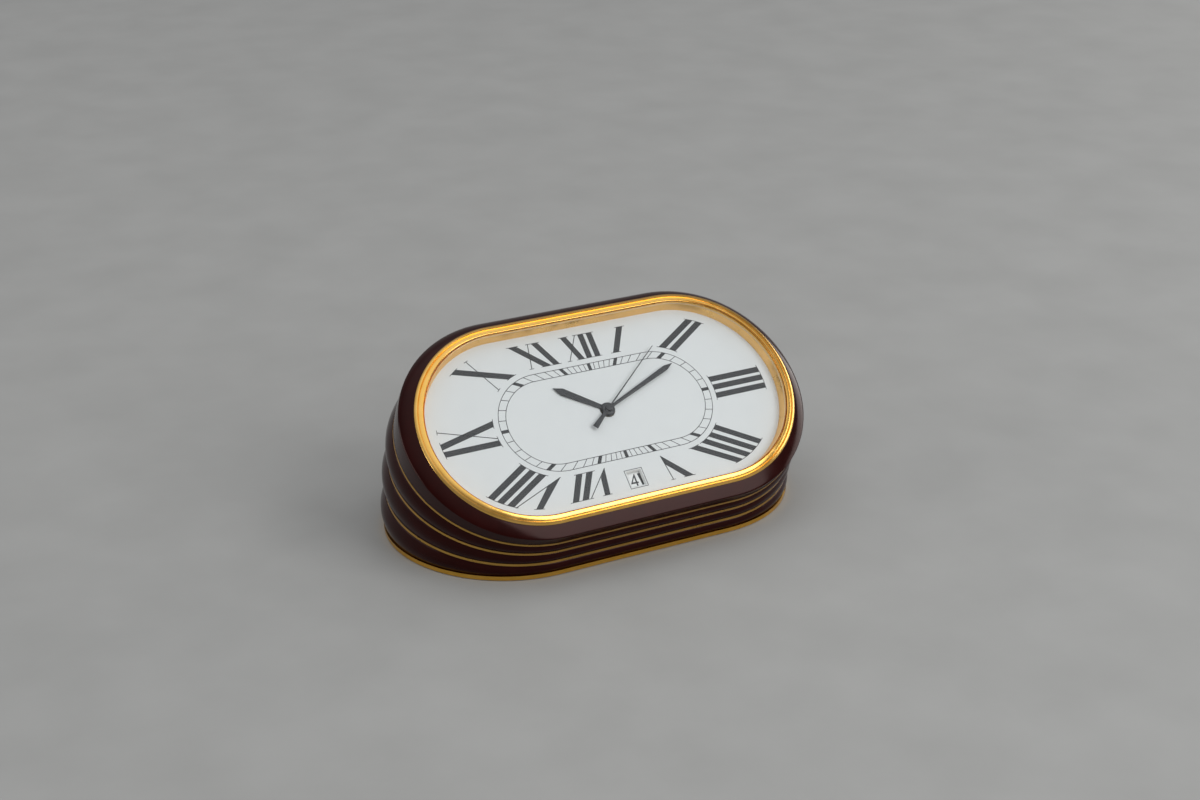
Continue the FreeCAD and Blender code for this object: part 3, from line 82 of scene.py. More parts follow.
def fan_point(turns, x, y, lift=0.0, shift=0.0):
    """Point of a fan plane in metres; x and y are counted from the plane's middle."""
    back, up = fan_axes(turns)
    return (PIVOT + back * (REACH + shift + y) + up * lift + Vector((x, 0, 0))) * MM


def face(x, y, z):
    """Point in the face frame: x to three o'clock, y to twelve, z out of the dial."""
    return fan_point(FACE_TURNS, x, y, z)


# ---------------------------------------------------------------- ovals

ARC_STEPS = 88
RUN_STEPS = 20
METAL_CREASE = 32           # degrees between two faces that still look smooth
LACQUER_CREASE = 40
HAND_CREASE = 20
NODE_CREASE = 30
BEVEL_CREASE = 40
BEVEL_SEGMENTS = 3


def oval_frames(half=HALF, arc_steps=ARC_STEPS, run_steps=RUN_STEPS):
    """Anticlockwise list of (centre x, direction x, direction y) round an oval."""
    frames = []
    for step in range(run_steps):
        frames.append((-half + 2 * half * step / run_steps, 0.0, -1.0))
    for step in range(arc_steps):
        angle = math.pi * (step / arc_steps - 0.5)
        frames.append((half, math.cos(angle), math.sin(angle)))
    for step in range(run_steps):
        frames.append((half - 2 * half * step / run_steps, 0.0, 1.0))
    for step in range(arc_steps):
        angle = math.pi * (step / arc_steps + 0.5)
        frames.append((-half, math.cos(angle), math.sin(angle)))
    return frames


OVAL = oval_frames()


def new_object(name, verts, faces):
    mesh = bpy.data.meshes.new(name)
    mesh.from_pydata([tuple(v) for v in verts], [], faces)
    mesh.validate()
    mesh.update()
    thing = bpy.data.objects.new(name, mesh)
    bpy.context.scene.collection.objects.link(thing)
    return thing


def smooth(thing, crease):
    thing.data.shade_smooth()
    thing.data.set_sharp_from_angle(angle=math.radians(crease))


def bevelled(thing, width):
    """Round the edges of a piece by a modifier."""
    bevel = thing.modifiers.new("edge", "BEVEL")
    bevel.width = width * MM
    bevel.segments = BEVEL_SEGMENTS
    bevel.limit_method = "ANGLE"
    bevel.angle_limit = math.radians(BEVEL_CREASE)
    bevel.harden_normals = True
    bevel.use_clamp_overlap = True


def ring_piece(name, rows, columns, point, body="case", stands_for=None):
    """Tube-like piece closed both ways: point(row, column) gives each vertex."""
    verts = [point(row, column) for row in range(rows) for column in range(columns)]
    faces = []
    for row in range(rows):
        follow = (row + 1) % rows
        for column in range(columns):
            side = (column + 1) % columns
            faces.append((row * columns + column, row * columns + side,
                          follow * columns + side, follow * columns + column))
    thing = new_object(name, verts, faces)
    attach(thing, body)
    if stands_for is not None:
        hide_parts(stands_for)
    return thing


# ---------------------------------------------------------------- gadroons

ROLL_ROWS = 44
EDGE_ROUND = 0.22           # the lacquer rolls over beside the gilt bands
ROLL_SWELL = 0.85           # how far a roll stands out of the gilt bands
BORE_SHARES = (1.0, 0.5, 0.0)
CROWN = 3                   # turns of the fan under the crown
CROWN_EQUATOR = 0.72        # share of the crown's height at which its arris lies
CROWN_SWELL = 0.2           # how far the arris stands out of the gilt bands
CROWN_FLATNESS = 1.6        # 1 is a quarter ellipse over the arris, 2 a flat chamfer
CROWN_RISE = 0.9            # level at which the bezel lies on the crown
CROWN_SEAT = 25.6
CROWN_ROWS = 40
WALL_CROWDING = 1.6         # rows of the wall stand closer together at its foot
THROAT = 22.9
LEDGE_LEAST = 0.05          # a ledge thinner than this is left out


def eased_shares(count):
    """Shares from 0 to 1, close together at both ends."""
    return [0.5 - 0.5 * math.cos(math.pi * i / count) for i in range(count + 1)]


def edge_inset(distance):
    """How far a rounded edge stands back at a distance from the joint."""
    if distance >= EDGE_ROUND:
        return 0.0
    return EDGE_ROUND - math.sqrt(EDGE_ROUND ** 2 - (EDGE_ROUND - distance) ** 2)


def roll_lift(turn, share):
    """Height over the turned plane: bands and base plate take their thickness from a roll."""
    below = BAND / 2 if turn else BASE_TOP - FAN_HEIGHT
    above = CROWN_RISE if turn == CROWN else -BAND / 2
    return below * (1 - share) + above * share


def local_thickness(y):
    """Thickness of a gadroon at a place between six and twelve o'clock."""
    return (REACH + y) * math.sin(math.radians(FAN_STEP)) - BAND


def roll_point(turn, share, shift, radius, column, rounded):
    """Point on a roll's outside; a rounded one also stands back under the next band."""
    x, dx, dy = OVAL[column]
    thick = local_thickness(dy * radius)
    inset = edge_inset(share * thick)
    if rounded:
        inset += edge_inset((1 - share) * thick)
    out = radius - inset
    return fan_point(turn + share, x + dx * out, dy * out, roll_lift(turn, share), shift)


def build_roll(turn):
    shares = eased_shares(ROLL_ROWS)

    def point(row, column):
        x, dx, dy = OVAL[column]
        if row < len(shares):
            share = shares[row]
            swell = ROLL_SWELL * math.sin(math.pi * share)
            return roll_point(turn, share, swell * BAND_RADIUS / REACH, BAND_RADIUS + swell,
                              column, True)
        share = BORE_SHARES[row - len(shares)]
        return fan_point(turn + share, x + dx * BORE_RADIUS, dy * BORE_RADIUS,
                         roll_lift(turn, share))

    node = f"gadroon_{turn + 1}"
    thing = ring_piece(f"lacquer_roll_{turn + 1}", len(shares) + len(BORE_SHARES), len(OVAL),
                       point, stands_for=node)
    smooth(thing, LACQUER_CREASE)
    return thing


def throat_depth(y):
    """Level in the face frame at which the throat of the crown meets its lower plane."""
    step = math.radians(FAN_STEP)
    return (BAND / 2 - (REACH + y) * math.sin(step)) / math.cos(step)


def crown_sections():
    """Outside of the crown as (share of its height, radius): the wall, then the roll inwards."""
    equator = BAND_RADIUS + CROWN_SWELL
    sections = []
    for step in range(CROWN_ROWS):
        part = (step / CROWN_ROWS) ** WALL_CROWDING
        out = math.sin(math.pi / 2 * part)
        sections.append((CROWN_EQUATOR * part, BAND_RADIUS + CROWN_SWELL * out))
    for step in range(CROWN_ROWS + 1):
        angle = math.pi / 2 * step / CROWN_ROWS
        out = max(0.0, math.cos(angle)) ** CROWN_FLATNESS
        share = CROWN_EQUATOR + (1 - CROWN_EQUATOR) * math.sin(angle) ** CROWN_FLATNESS
        sections.append((share, CROWN_SEAT + (equator - CROWN_SEAT) * out))
    return sections


def build_crown():
    sections = crown_sections()
    inner = ("seat", "rebate", "ledge", "throat")

    def point(row, column):
        x, dx, dy = OVAL[column]
        if row < len(sections):
            share, radius = sections[row]
            return roll_point(CROWN, share, 0.0, radius, column, False)
        kind = inner[row - len(sections)]
        floor = throat_depth(dy * BORE_RADIUS)
        has_ledge = floor < HOLDER_BOTTOM - LEDGE_LEAST
        radius = THROAT if has_ledge and kind in ("ledge", "throat") else BORE_RADIUS
        depth = {"seat": CROWN_RISE,
                 "rebate": max(HOLDER_BOTTOM, floor),
                 "ledge": max(HOLDER_BOTTOM, throat_depth(dy * radius)),
                 "throat": throat_depth(dy * radius)}[kind]
        if kind == "ledge" and not has_ledge:
            depth = (max(HOLDER_BOTTOM, floor) + floor) / 2
        return face(x + dx * radius, dy * radius, depth)

    thing = ring_piece("lacquer_crown", len(sections) + len(inner), len(OVAL), point,
                       stands_for="gadroon_4")
    smooth(thing, LACQUER_CREASE)
    return thing


# ---------------------------------------------------------------- bezel

# Points of the bezel's profile as (radius, level), from its edge to its lip.
BEZEL_EDGE = (25.84, 0.95)
OUTER_CREST = (25.2, 1.46)
GROOVE = (24.95, 1.16)
INNER_FOOT = (24.84, 1.24)
INNER_CREST = (23.9, 1.58)
LIP = (23.5, 1.15)
OUTER_BEAD = 2.0            # radii of the rounded faces
INNER_BEAD = 2.2
LIP_BEAD = 0.42
BEZEL_FOOT = 25.7
BEZEL_TUBE = 24.8
REBATE = 24.0               # bore of the bezel round the lens
LIP_SEAT = 0.8
LENS_REFLECTION_INSIDE = 23.56            # inside of the pale ring at the lens's edge; its colour is a painted reflection
LENS_REFLECTION_THICKNESS = 0.03            # thickness of that ring
GASKET = 0.12
BEAD_STEPS = 10


def arc_through(start, end, radius):
    """Points from start to end on an arc that bulges to +z; (r, z) pairs."""
    (r0, z0), (r1, z1) = start, end
    chord = math.hypot(r1 - r0, z1 - z0)
    rise = math.sqrt(radius ** 2 - chord ** 2 / 4)
    nx, nz = (z1 - z0) / chord, -(r1 - r0) / chord
    if nz < 0:
        nx, nz = -nx, -nz
    cx, cz = (r0 + r1) / 2 - nx * rise, (z0 + z1) / 2 - nz * rise
    a0 = math.atan2(z0 - cz, r0 - cx)
    a1 = math.atan2(z1 - cz, r1 - cx)
    angles = [a0 + (a1 - a0) * i / BEAD_STEPS for i in range(BEAD_STEPS + 1)]
    return [(cx + radius * math.cos(a), cz + radius * math.sin(a)) for a in angles]


def bezel_profile():
    """Tube, foot, outer bead, groove, inner bead and lip, then the rebate of the lens."""
    outer = arc_through(BEZEL_EDGE, OUTER_CREST, OUTER_BEAD)
    inner = arc_through(INNER_FOOT, INNER_CREST, INNER_BEAD)
    lip = arc_through(INNER_CREST, LIP, LIP_BEAD)
    return ([(REBATE, DIAL_TOP), (BEZEL_TUBE, DIAL_TOP), (BEZEL_TUBE, CROWN_RISE),
             (BEZEL_FOOT, CROWN_RISE)] + outer + [GROOVE] + inner + lip[1:]
            + [(LIP[0], LIP_SEAT), (REBATE, LIP_SEAT)])


def lens_edge_profile():
    """Pale ring at the lens's edge: its colour is a painted reflection of the gilt bezel, laid over
    the shade under the lip.
    """
    outside = LENS_REFLECTION_INSIDE + LENS_REFLECTION_THICKNESS
    top = LIP_SEAT - GASKET
    return [(LENS_REFLECTION_INSIDE, LENS_BOTTOM), (outside, LENS_BOTTOM), (outside, top), (LENS_REFLECTION_INSIDE, top)]


def profile_ring(name, profile, stands_for=None):
    """Ring with a closed (radius, level) profile swept round the oval of the face."""

    def point(row, column):
        x, dx, dy = OVAL[column]
        radius, level = profile[row]
        return face(x + dx * radius, dy * radius, level)

    thing = ring_piece(name, len(profile), len(OVAL), point, stands_for=stands_for)
    smooth(thing, METAL_CREASE)
    return thing


# ---------------------------------------------------------------- printing on the dial

PRINT = 0.015               # thickness of the printed marks
BAR = 1.45                  # width of a thick stroke
HAIR = 0.2                  # width of a thin stroke
TRACK_LINE = 0.15
WINDOW_LINE = 0.2
SERIF = 0.14                # width of a serif's line
SERIF_REACH = 0.5           # how far a serif stands out of its stroke
SERIF_PLACES = (-1, -0.6, -0.2, 0.2, 0.6, 1)
STEEPEST = 0.35             # limits how much a slanting stroke widens its serif
TICK_HALF = 0.42            # half the width of an hour's bar on the track
FAR = 80.0                  # longer than any line across the dial
HALVINGS = 50
STADIUM_STEPS = 64
STADIUM_RUN_STEPS = 8
INNER = (14.6, 14.2)        # stadium under the numerals: half run and radius
OUTER = (21.8, 20.7)        # stadium over the numerals
TRACK_INNER = (14.6, 10.94)
TRACK_OUTER = (14.6, 12.75)


def stadium_gap(point, stadium):
    """Signed distance of a point outside a stadium."""
    half, radius = stadium
    return math.hypot(max(abs(point[0]) - half, 0.0), point[1]) - radius


def meet(start, direction, stadium):
    """Point where a line crosses a stadium: ahead of a start inside it, behind one outside."""
    inside, outside = 0.0, FAR
    if stadium_gap(start, stadium) > 0:
        inside, outside = -(start[0] * direction[0] + start[1] * direction[1]), 0.0
    for _ in range(HALVINGS):
        middle = (inside + outside) / 2
        point = (start[0] + direction[0] * middle, start[1] + direction[1] * middle)
        if stadium_gap(point, stadium) > 0:
            outside = middle
        else:
            inside = middle
    return (start[0] + direction[0] * inside, start[1] + direction[1] * inside)


def onto(point, stadium):
    """Nearest point of a stadium's outline."""
    half, radius = stadium
    x = max(-half, min(half, point[0]))
    dx, dy = point[0] - x, point[1]
    length = math.hypot(dx, dy)
    return (x + dx / length * radius, dy / length * radius)


class Print:
    """Flat polygons gathered into one thin printed piece."""

    def __init__(self):
        self.verts = []
        self.faces = []

    def polygon(self, points):
        area = sum(a[0] * b[1] - b[0] * a[1] for a, b in zip(points, points[1:] + points[:1]))
        if area < 0:
            points = points[::-1]
        first = len(self.verts)
        count = len(points)
        for level in (0.0, PRINT):
            self.verts += [(x, y, level) for x, y in points]
        self.faces.append([first + i for i in range(count)][::-1])
        self.faces.append([first + count + i for i in range(count)])
        for i in range(count):
            j = (i + 1) % count
            self.faces.append((first + i, first + j, first + count + j, first + count + i))

    def band(self, line, width, closed=False):
        """Strip of a width along a line of points."""
        count = len(line)
        pieces = range(count if closed else count - 1)
        sides = []
        for i in range(count):
            before = line[(i - 1) % count] if closed or i else line[0]
            after = line[(i + 1) % count] if closed or i < count - 1 else line[-1]
            dx, dy = after[0] - before[0], after[1] - before[1]
            length = math.hypot(dx, dy) or 1.0
            nx, ny = -dy / length * width / 2, dx / length * width / 2
            sides.append(((line[i][0] + nx, line[i][1] + ny), (line[i][0] - nx, line[i][1] - ny)))
        for i in pieces:
            j = (i + 1) % count
            self.polygon([sides[i][0], sides[j][0], sides[j][1], sides[i][1]])

    def make(self, name, level, body="case"):
        verts = [face(x, y, level + z) for x, y, z in self.verts]
        thing = new_object(name, verts, self.faces)
        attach(thing, body)
        return thing


def heading(start, end):
    dx, dy = end[0] - start[0], end[1] - start[1]
    length = math.hypot(dx, dy)
    return (dx / length, dy / length)


def normal_of(point, stadium):
    """Outward direction of a stadium's outline next to a point."""
    centre = max(-stadium[0], min(stadium[0], point[0]))
    return heading((centre, 0), point)


def serif(ink, place, width, stadium):
    """Hairline along a stadium across the end of a stroke."""
    x, y = onto(place, stadium)
    half, radius = stadium
    centre = max(-half, min(half, x))
    tangent = (-y / radius, (x - centre) / radius)
    reach = width / 2 + SERIF_REACH
    line = [onto((x + tangent[0] * reach * k, y + tangent[1] * reach * k), stadium)
            for k in SERIF_PLACES]
    ink.band(line, SERIF)


def stroke(ink, inner, outer, width):
    """Straight stroke between the stadiums, cut along them, with its serifs."""
    direction = heading(inner, outer)
    side = (-direction[1] * width / 2, direction[0] * width / 2)
    middle = ((inner[0] + outer[0]) / 2, (inner[1] + outer[1]) / 2)
    corners = []
    for sign, stadiums in ((1, (INNER, OUTER)), (-1, (OUTER, INNER))):
        start = (middle[0] + side[0] * sign, middle[1] + side[1] * sign)
        for stadium in stadiums:
            corners.append(meet(start, direction, stadium))
    ink.polygon(corners)
    base = meet(middle, direction, INNER)
    top = meet(middle, direction, OUTER)
    normal = normal_of(top, OUTER)
    slant = abs(direction[0] * normal[0] + direction[1] * normal[1])
    serif(ink, base, width / max(STEEPEST, slant), INNER)
    serif(ink, top, width / max(STEEPEST, slant), OUTER)


def wedge(ink, corners, apex, hair_end):
    """V of a numeral: its thick stroke as a polygon and its thin stroke from the apex."""
    ink.polygon(corners)
    ink.band([apex, hair_end], HAIR)
    thick_end = ((corners[1][0] + corners[2][0]) / 2, (corners[1][1] + corners[2][1]) / 2)
    serif(ink, thick_end, abs(corners[1][0] - corners[2][0]), OUTER)
    serif(ink, hair_end, HAIR, OUTER)


# Strokes as (foot, head), feet towards the middle of the dial. The window stands for the VI.
THICK = (
    ((-1.03, 14.2), (-3.6, 20.7)), ((1.0, 14.2), (1.0, 20.7)), ((3.22, 14.2), (3.22, 20.7)),   # XII
    ((8.1, 14.2), (11.6, 20.7)),                                                               # I
    ((20.4, 13.15), (30.0, 18.75)), ((22.7, 11.95), (32.2, 17.6)),                             # II
    ((28.9, 2.2), (42.1, 2.2)), ((28.9, 0.0), (42.1, 0.0)), ((28.9, -2.25), (42.1, -2.25)),    # III
    ((24.95, -10.3), (34.05, -16.05)), ((22.8, -11.8), (32.1, -17.6)),                         # IIII
    ((20.75, -13.15), (29.85, -18.85)), ((17.35, -14.0), (27.2, -19.9)),
    ((-13.1, -14.1), (-16.5, -20.6)), ((-10.45, -14.1), (-14.0, -20.6)),                       # VII
    ((-25.35, -9.3), (-35.75, -15.3)), ((-23.45, -10.85), (-34.0, -16.75)),                    # VIII
    ((-21.8, -12.35), (-31.95, -18.1)),
    ((-28.5, -2.45), (-42.6, -2.45)), ((-28.6, 2.55), (-42.8, -0.6)),                          # IX
    ((-20.2, 13.3), (-33.3, 17.4)),                                                            # X
    ((-10.1, 14.2), (-16.9, 20.7)), ((-7.7, 14.2), (-11.2, 20.7)),                             # XI
)
THIN = (
    ((-4.2, 14.2), (-0.47, 20.7)),       # XII
    ((-28.7, -1.3), (-42.7, 3.4)),       # IX
    ((-24.1, 10.7), (-29.3, 19.4)),      # X
    ((-14.2, 14.2), (-12.9, 20.7)),      # XI
)
# The V of V, VII and VIII: corners of its thick stroke, its apex and the end of its thin stroke.
WEDGES = (
    (((8.05, -14.2), (14.3, -20.7), (12.2, -20.7), (8.3, -16.5)), (8.05, -14.2), (8.9, -20.7)),
    (((-6.6, -14.1), (-7.7, -20.7), (-9.1, -20.7), (-8.4, -16.3)), (-6.6, -14.1), (-12.55, -20.6)),
    (((-17.8, -13.9), (-24.8, -20.5), (-26.4, -20.2), (-21.4, -15.1)), (-17.8, -13.9),
     (-30.9, -18.8)),
)
WINDOW = (0.0, -18.3, 4.5, 4.7)      # middle and size of the printed frame of the window


def stadium_line(stadium):
    half, radius = stadium
    return [(x + dx * radius, dy * radius)
            for x, dx, dy in oval_frames(half, STADIUM_STEPS, STADIUM_RUN_STEPS)]


def hour_tick(ink, hour):
    """Bar across the minute track."""
    angle = math.radians(30 * hour)
    direction = (math.sin(angle), math.cos(angle))
    side = (-direction[1] * TICK_HALF, direction[0] * TICK_HALF)
    other = (-side[0], -side[1])
    ink.polygon([meet(side, direction, TRACK_INNER), meet(side, direction, TRACK_OUTER),
                 meet(other, direction, TRACK_OUTER), meet(other, direction, TRACK_INNER)])


def minute_tick(ink, minute):
    angle = math.radians(6 * minute)
    direction = (math.sin(angle), math.cos(angle))
    ink.band([meet((0, 0), direction, TRACK_INNER), meet((0, 0), direction, TRACK_OUTER)],
             TRACK_LINE)


def build_numerals():
    numerals = Print()
    for foot, head in THICK:
        stroke(numerals, foot, head, BAR)
    for foot, head in THIN:
        stroke(numerals, foot, head, HAIR)
    for corners, apex, hair_end in WEDGES:
        wedge(numerals, list(corners), apex, hair_end)
    for hour in range(12):
        hour_tick(numerals, hour)
    return numerals.make("dial_numerals", DIAL_TOP)


def build_track():
    fine = Print()
    for minute in range(60):
        if minute % 5:
            minute_tick(fine, minute)
    for stadium in (TRACK_INNER, TRACK_OUTER):
        fine.band(stadium_line(stadium), TRACK_LINE, closed=True)
    x, y, width, height = WINDOW
    corners = [(x - width / 2, y - height / 2), (x + width / 2, y - height / 2),
               (x + width / 2, y + height / 2), (x - width / 2, y + height / 2)]
    fine.band(corners, WINDOW_LINE, closed=True)
    return fine.make("dial_track", DIAL_TOP)


# ---------------------------------------------------------------- date numbers

DATE_CIRCLE = 18.65         # radius of the circle through the middles of the numbers
DATE_SIZE = 5.4
DATE_WEIGHT = -0.04         # thins the outline of the figures
DATE_SQUEEZE = 0.8          # the figures are narrow
DATE_WIDTH = 2.7            # room for a number between two bars
DATE_LAG = 1.0              # degrees that the printed ring stands behind the window's middle
DATE_BAR = (0.8, 3.4)       # width and length of the bar between two numbers
TODAY = 4                   # number in the window at rest
DAYS = 31


def date_place(day):
    """Middle and directions (right, up) of a day's number on the calendar ring."""
    turn = math.radians(180 + DATE_LAG + (day - TODAY) * 360 / DAYS)
    centre = (math.sin(turn) * DATE_CIRCLE, math.cos(turn) * DATE_CIRCLE)
    up = (-math.sin(turn), -math.cos(turn))
    return centre, (up[1], -up[0]), up


def build_date_bars():
    """Dark bars on the calendar ring, one between each two numbers."""
    bars = Print()
    width, length = DATE_BAR
    for day in range(DAYS):
        (x, y), _, up = date_place(day + 0.5)
        ends = [(x + up[0] * length * k, y + up[1] * length * k) for k in (-0.5, 0.5)]
        bars.band(ends, width)
    return bars.make("date_bars", DATE_TOP, "date_ring")


def build_dates():
    """Numbers 1 to 31, each squeezed to the room between two bars."""
    verts, faces = [], []
    depsgraph = bpy.context.evaluated_depsgraph_get()
    for day in range(1, DAYS + 1):
        curve = bpy.data.curves.new(f"day_{day}", "FONT")
        curve.body = str(day)
        curve.size = DATE_SIZE
        curve.align_x = "CENTER"
        curve.align_y = "CENTER"
        curve.extrude = PRINT / 2
        curve.offset = DATE_WEIGHT
        text = bpy.data.objects.new(f"day_{day}", curve)
        mesh = bpy.data.meshes.new_from_object(text, depsgraph=depsgraph)
        low = min(v.co.y for v in mesh.vertices)
        high = max(v.co.y for v in mesh.vertices)
        width = max(v.co.x for v in mesh.vertices) - min(v.co.x for v in mesh.vertices)
        squeeze = min(DATE_SQUEEZE, DATE_WIDTH / width)
        centre, right, up = date_place(day)
        first = len(verts)
        for v in mesh.vertices:
            px, py = v.co.x * squeeze, v.co.y - (low + high) / 2
            verts.append(face(centre[0] + right[0] * px + up[0] * py,
                              centre[1] + right[1] * px + up[1] * py,
                              DATE_TOP + v.co.z + PRINT / 2))
        for polygon in mesh.polygons:
            faces.append([first + i for i in polygon.vertices])
        bpy.data.objects.remove(text)
        bpy.data.curves.remove(curve)
        bpy.data.meshes.remove(mesh)
    thing = new_object("date_numbers", verts, faces)
    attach(thing, "date_ring")
    return thing


# ---------------------------------------------------------------- hands

HOUR_LEVEL = -1.44
MINUTE_LEVEL = -1.04
SECONDS_LEVEL = -0.64
HAND_THICKNESS = 0.2
SECONDS_THICKNESS = 0.15
FLANK = 0.5                 # share of a blade's thickness under its sloping sides
HOUR_BOSS = 1.75
MINUTE_BOSS = 1.55
SECONDS_BOSS = 0.9
BOSS_RISE = 0.08
DOME_RISE = 0.16
BOSS_STEPS = 48
RIM_SHARE = 0.3             # share of a boss's thickness that its chamfer takes
DOME_SHARES = (0.8, 0.6, 0.4, 0.2)

# Blades as (distance from the arbor, width); the pointed ones end in a tip.
HOUR_BLADE = ((1.2, 1.1), (11.6, 1.9))
HOUR_TIP = 13.9
MINUTE_BLADE = ((1.0, 0.75), (19.8, 1.35))
MINUTE_TIP = 22.2
SECONDS_NEEDLE = ((0.4, 0.34), (21.9, 0.18))
SECONDS_TAIL = ((0.4, 0.6), (6.6, 1.4))

# Degrees from twelve o'clock at rest.
HOUR_TURN = 305.7
MINUTE_TURN = 68.4
SECONDS_TURN = 52.0


def ridged_blade(verts, faces, stations, tip, low, thickness, turn):
    """Blade along twelve o'clock, turned clockwise, with a ridge on its middle line."""
    angle = math.radians(turn)
    sine, cosine = math.sin(angle), math.cos(angle)

    def put(x, y, z):
        verts.append(face(x * cosine + y * sine, -x * sine + y * cosine, z))
        return len(verts) - 1

    side = low + thickness * FLANK
    top = low + thickness
    rows = []
    for height, width in stations:
        rows.append([put(-width / 2, height, low), put(width / 2, height, low),
                     put(width / 2, height, side), put(0, height, top),
                     put(-width / 2, height, side)])
    for first, follow in zip(rows, rows[1:]):
        for i in range(5):
            j = (i + 1) % 5
            faces.append((first[i], first[j], follow[j], follow[i]))
    faces.append(rows[0][::-1])
    if tip is None:
        faces.append(rows[-1])
    else:
        end_low = put(0, tip, low)
        end_side = put(0, tip, side)
        last = rows[-1]
        faces.append((last[0], last[1], end_low))
        faces.append((last[1], last[2], end_side, end_low))
        faces.append((last[2], last[3], end_side))
        faces.append((last[3], last[4], end_side))
        faces.append((last[4], last[0], end_low, end_side))


def boss_disc(verts, faces, radius, low, thickness, domed):
    """Turned boss with a chamfered rim and a domed middle that covers its arbor."""
    rim = RIM_SHARE * thickness
    top = low + thickness
    rows = [(radius, low), (radius, top - rim), (radius - rim, top)]
    rows += [(radius * share, top + domed * math.sqrt(1 - share ** 2)) for share in DOME_SHARES]
    first = len(verts)
    for r, z in rows:
        for step in range(BOSS_STEPS):
            angle = 2 * math.pi * step / BOSS_STEPS
            verts.append(face(r * math.cos(angle), r * math.sin(angle), z))
    for row in range(len(rows) - 1):
        here = first + row * BOSS_STEPS
        above = here + BOSS_STEPS
        for step in range(BOSS_STEPS):
            side = (step + 1) % BOSS_STEPS
            faces.append((here + step, here + side, above + side, above + step))
    faces.append([first + i for i in range(BOSS_STEPS)][::-1])
    last = first + (len(rows) - 1) * BOSS_STEPS
    faces.append([last + i for i in range(BOSS_STEPS)])


def build_hand(name, blades, boss, low, thickness, domed=BOSS_RISE):
    verts, faces = [], []
    for stations, tip, turn in blades:
        ridged_blade(verts, faces, stations, tip, low, thickness, turn)
    boss_disc(verts, faces, boss, low, thickness, domed)
    thing = new_object(name + "_ridged", verts, faces)
    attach(thing, name)
    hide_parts(name)
    smooth(thing, HAND_CREASE)
    return thing


def build_hands():
    minute = build_hand("minute_hand", [(MINUTE_BLADE, MINUTE_TIP, MINUTE_TURN)],
                        MINUTE_BOSS, MINUTE_LEVEL, HAND_THICKNESS)
    hour = build_hand("hour_hand", [(HOUR_BLADE, HOUR_TIP, HOUR_TURN)],
                      HOUR_BOSS, HOUR_LEVEL, HAND_THICKNESS)
    seconds = build_hand("seconds_hand",
                         [(SECONDS_NEEDLE, None, SECONDS_TURN),
                          (SECONDS_TAIL, None, SECONDS_TURN + 180)],
                         SECONDS_BOSS, SECONDS_LEVEL, SECONDS_THICKNESS, domed=DOME_RISE)
    return minute, hour, seconds


# ---------------------------------------------------------------- materials

NOISE_LOW = 0.3             # a noise texture hardly leaves these two values
NOISE_HIGH = 0.7
GILT_GRAIN = 350.0
GILT_FINE = 9000.0
DUST_GRAIN = 2500.0


def material(name):
    made = bpy.data.materials.new(name)
    made.use_nodes = True
    return made


def texture(made, scale, detail, stretch=None):
    """Noise in the object's own coordinates; scale is counted per metre."""
    nodes, links = made.node_tree.nodes, made.node_tree.links
    coordinates = nodes.new("ShaderNodeTexCoord")
    mapping = nodes.new("ShaderNodeMapping")
    links.new(coordinates.outputs["Object"], mapping.inputs["Vector"])
    if stretch is not None:
        mapping.inputs["Scale"].default_value = stretch
    node = nodes.new("ShaderNodeTexNoise")
    node.inputs["Scale"].default_value = scale
    node.inputs["Detail"].default_value = detail
    links.new(mapping.outputs["Vector"], node.inputs["Vector"])
    return node


def ramp(made, output, stops):
    """Colour ramp over an output of a node; stops are (place, colour)."""
    nodes, links = made.node_tree.nodes, made.node_tree.links
    node = nodes.new("ShaderNodeValToRGB")
    links.new(output, node.inputs["Fac"])
    elements = node.color_ramp.elements
    while len(elements) < len(stops):
        elements.new(0.5)
    for element, (place, colour) in zip(elements, stops):
        element.position = place
        element.color = (*colour, 1.0)
    return node.outputs["Color"]


def spread(made, source, low, high):
    """Map a noise texture onto a range."""
    nodes, links = made.node_tree.nodes, made.node_tree.links
    node = nodes.new("ShaderNodeMapRange")
    node.inputs["From Min"].default_value = NOISE_LOW
    node.inputs["From Max"].default_value = NOISE_HIGH
    node.inputs["To Min"].default_value = low
    node.inputs["To Max"].default_value = high
    links.new(source.outputs[0], node.inputs["Value"])
    return node.outputs["Result"]


def bump(made, source, distance):
    nodes, links = made.node_tree.nodes, made.node_tree.links
    node = nodes.new("ShaderNodeBump")
    node.inputs["Distance"].default_value = distance * MM
    links.new(source.outputs[0], node.inputs["Height"])
    return node.outputs["Normal"]


def finish_of(name, dark, light, metallic=0.0, roughness=(0.3, 0.4), grain=900.0, fine=6000.0,
              height=0.002, stretch=None, specular=None, tint=None):
    """Material with a varied colour, a varied roughness and a fine bump."""
    made = material(name)
    links = made.node_tree.links
    shader = made.node_tree.nodes["Principled BSDF"]
    shader.inputs["Metallic"].default_value = metallic
    if specular is not None:
        shader.inputs["Specular IOR Level"].default_value = specular
    if tint is not None:
        shader.inputs["Specular Tint"].default_value = (*tint, 1.0)
    broad = texture(made, grain, 4.0, stretch=stretch)
    close = texture(made, fine, 2.0, stretch=stretch)
    colours = ramp(made, broad.outputs[0], ((NOISE_LOW, dark), (NOISE_HIGH, light)))
    links.new(colours, shader.inputs["Base Color"])
    links.new(spread(made, broad, *roughness), shader.inputs["Roughness"])
    links.new(bump(made, close, height), shader.inputs["Normal"])
    return made


def gilding(name, dark, light, roughness, height=0.0008):
    """Gilt metal with a soft sheen."""
    return finish_of(name, dark, light, metallic=1.0, roughness=roughness, grain=GILT_GRAIN,
                     fine=GILT_FINE, height=height)


LENS_SHINE = 0.014          # share of light that the lens reflects straight on
SLANT_SHINE = 0.5           # what a slant adds to it at most
SLANT_POWER = 5.0


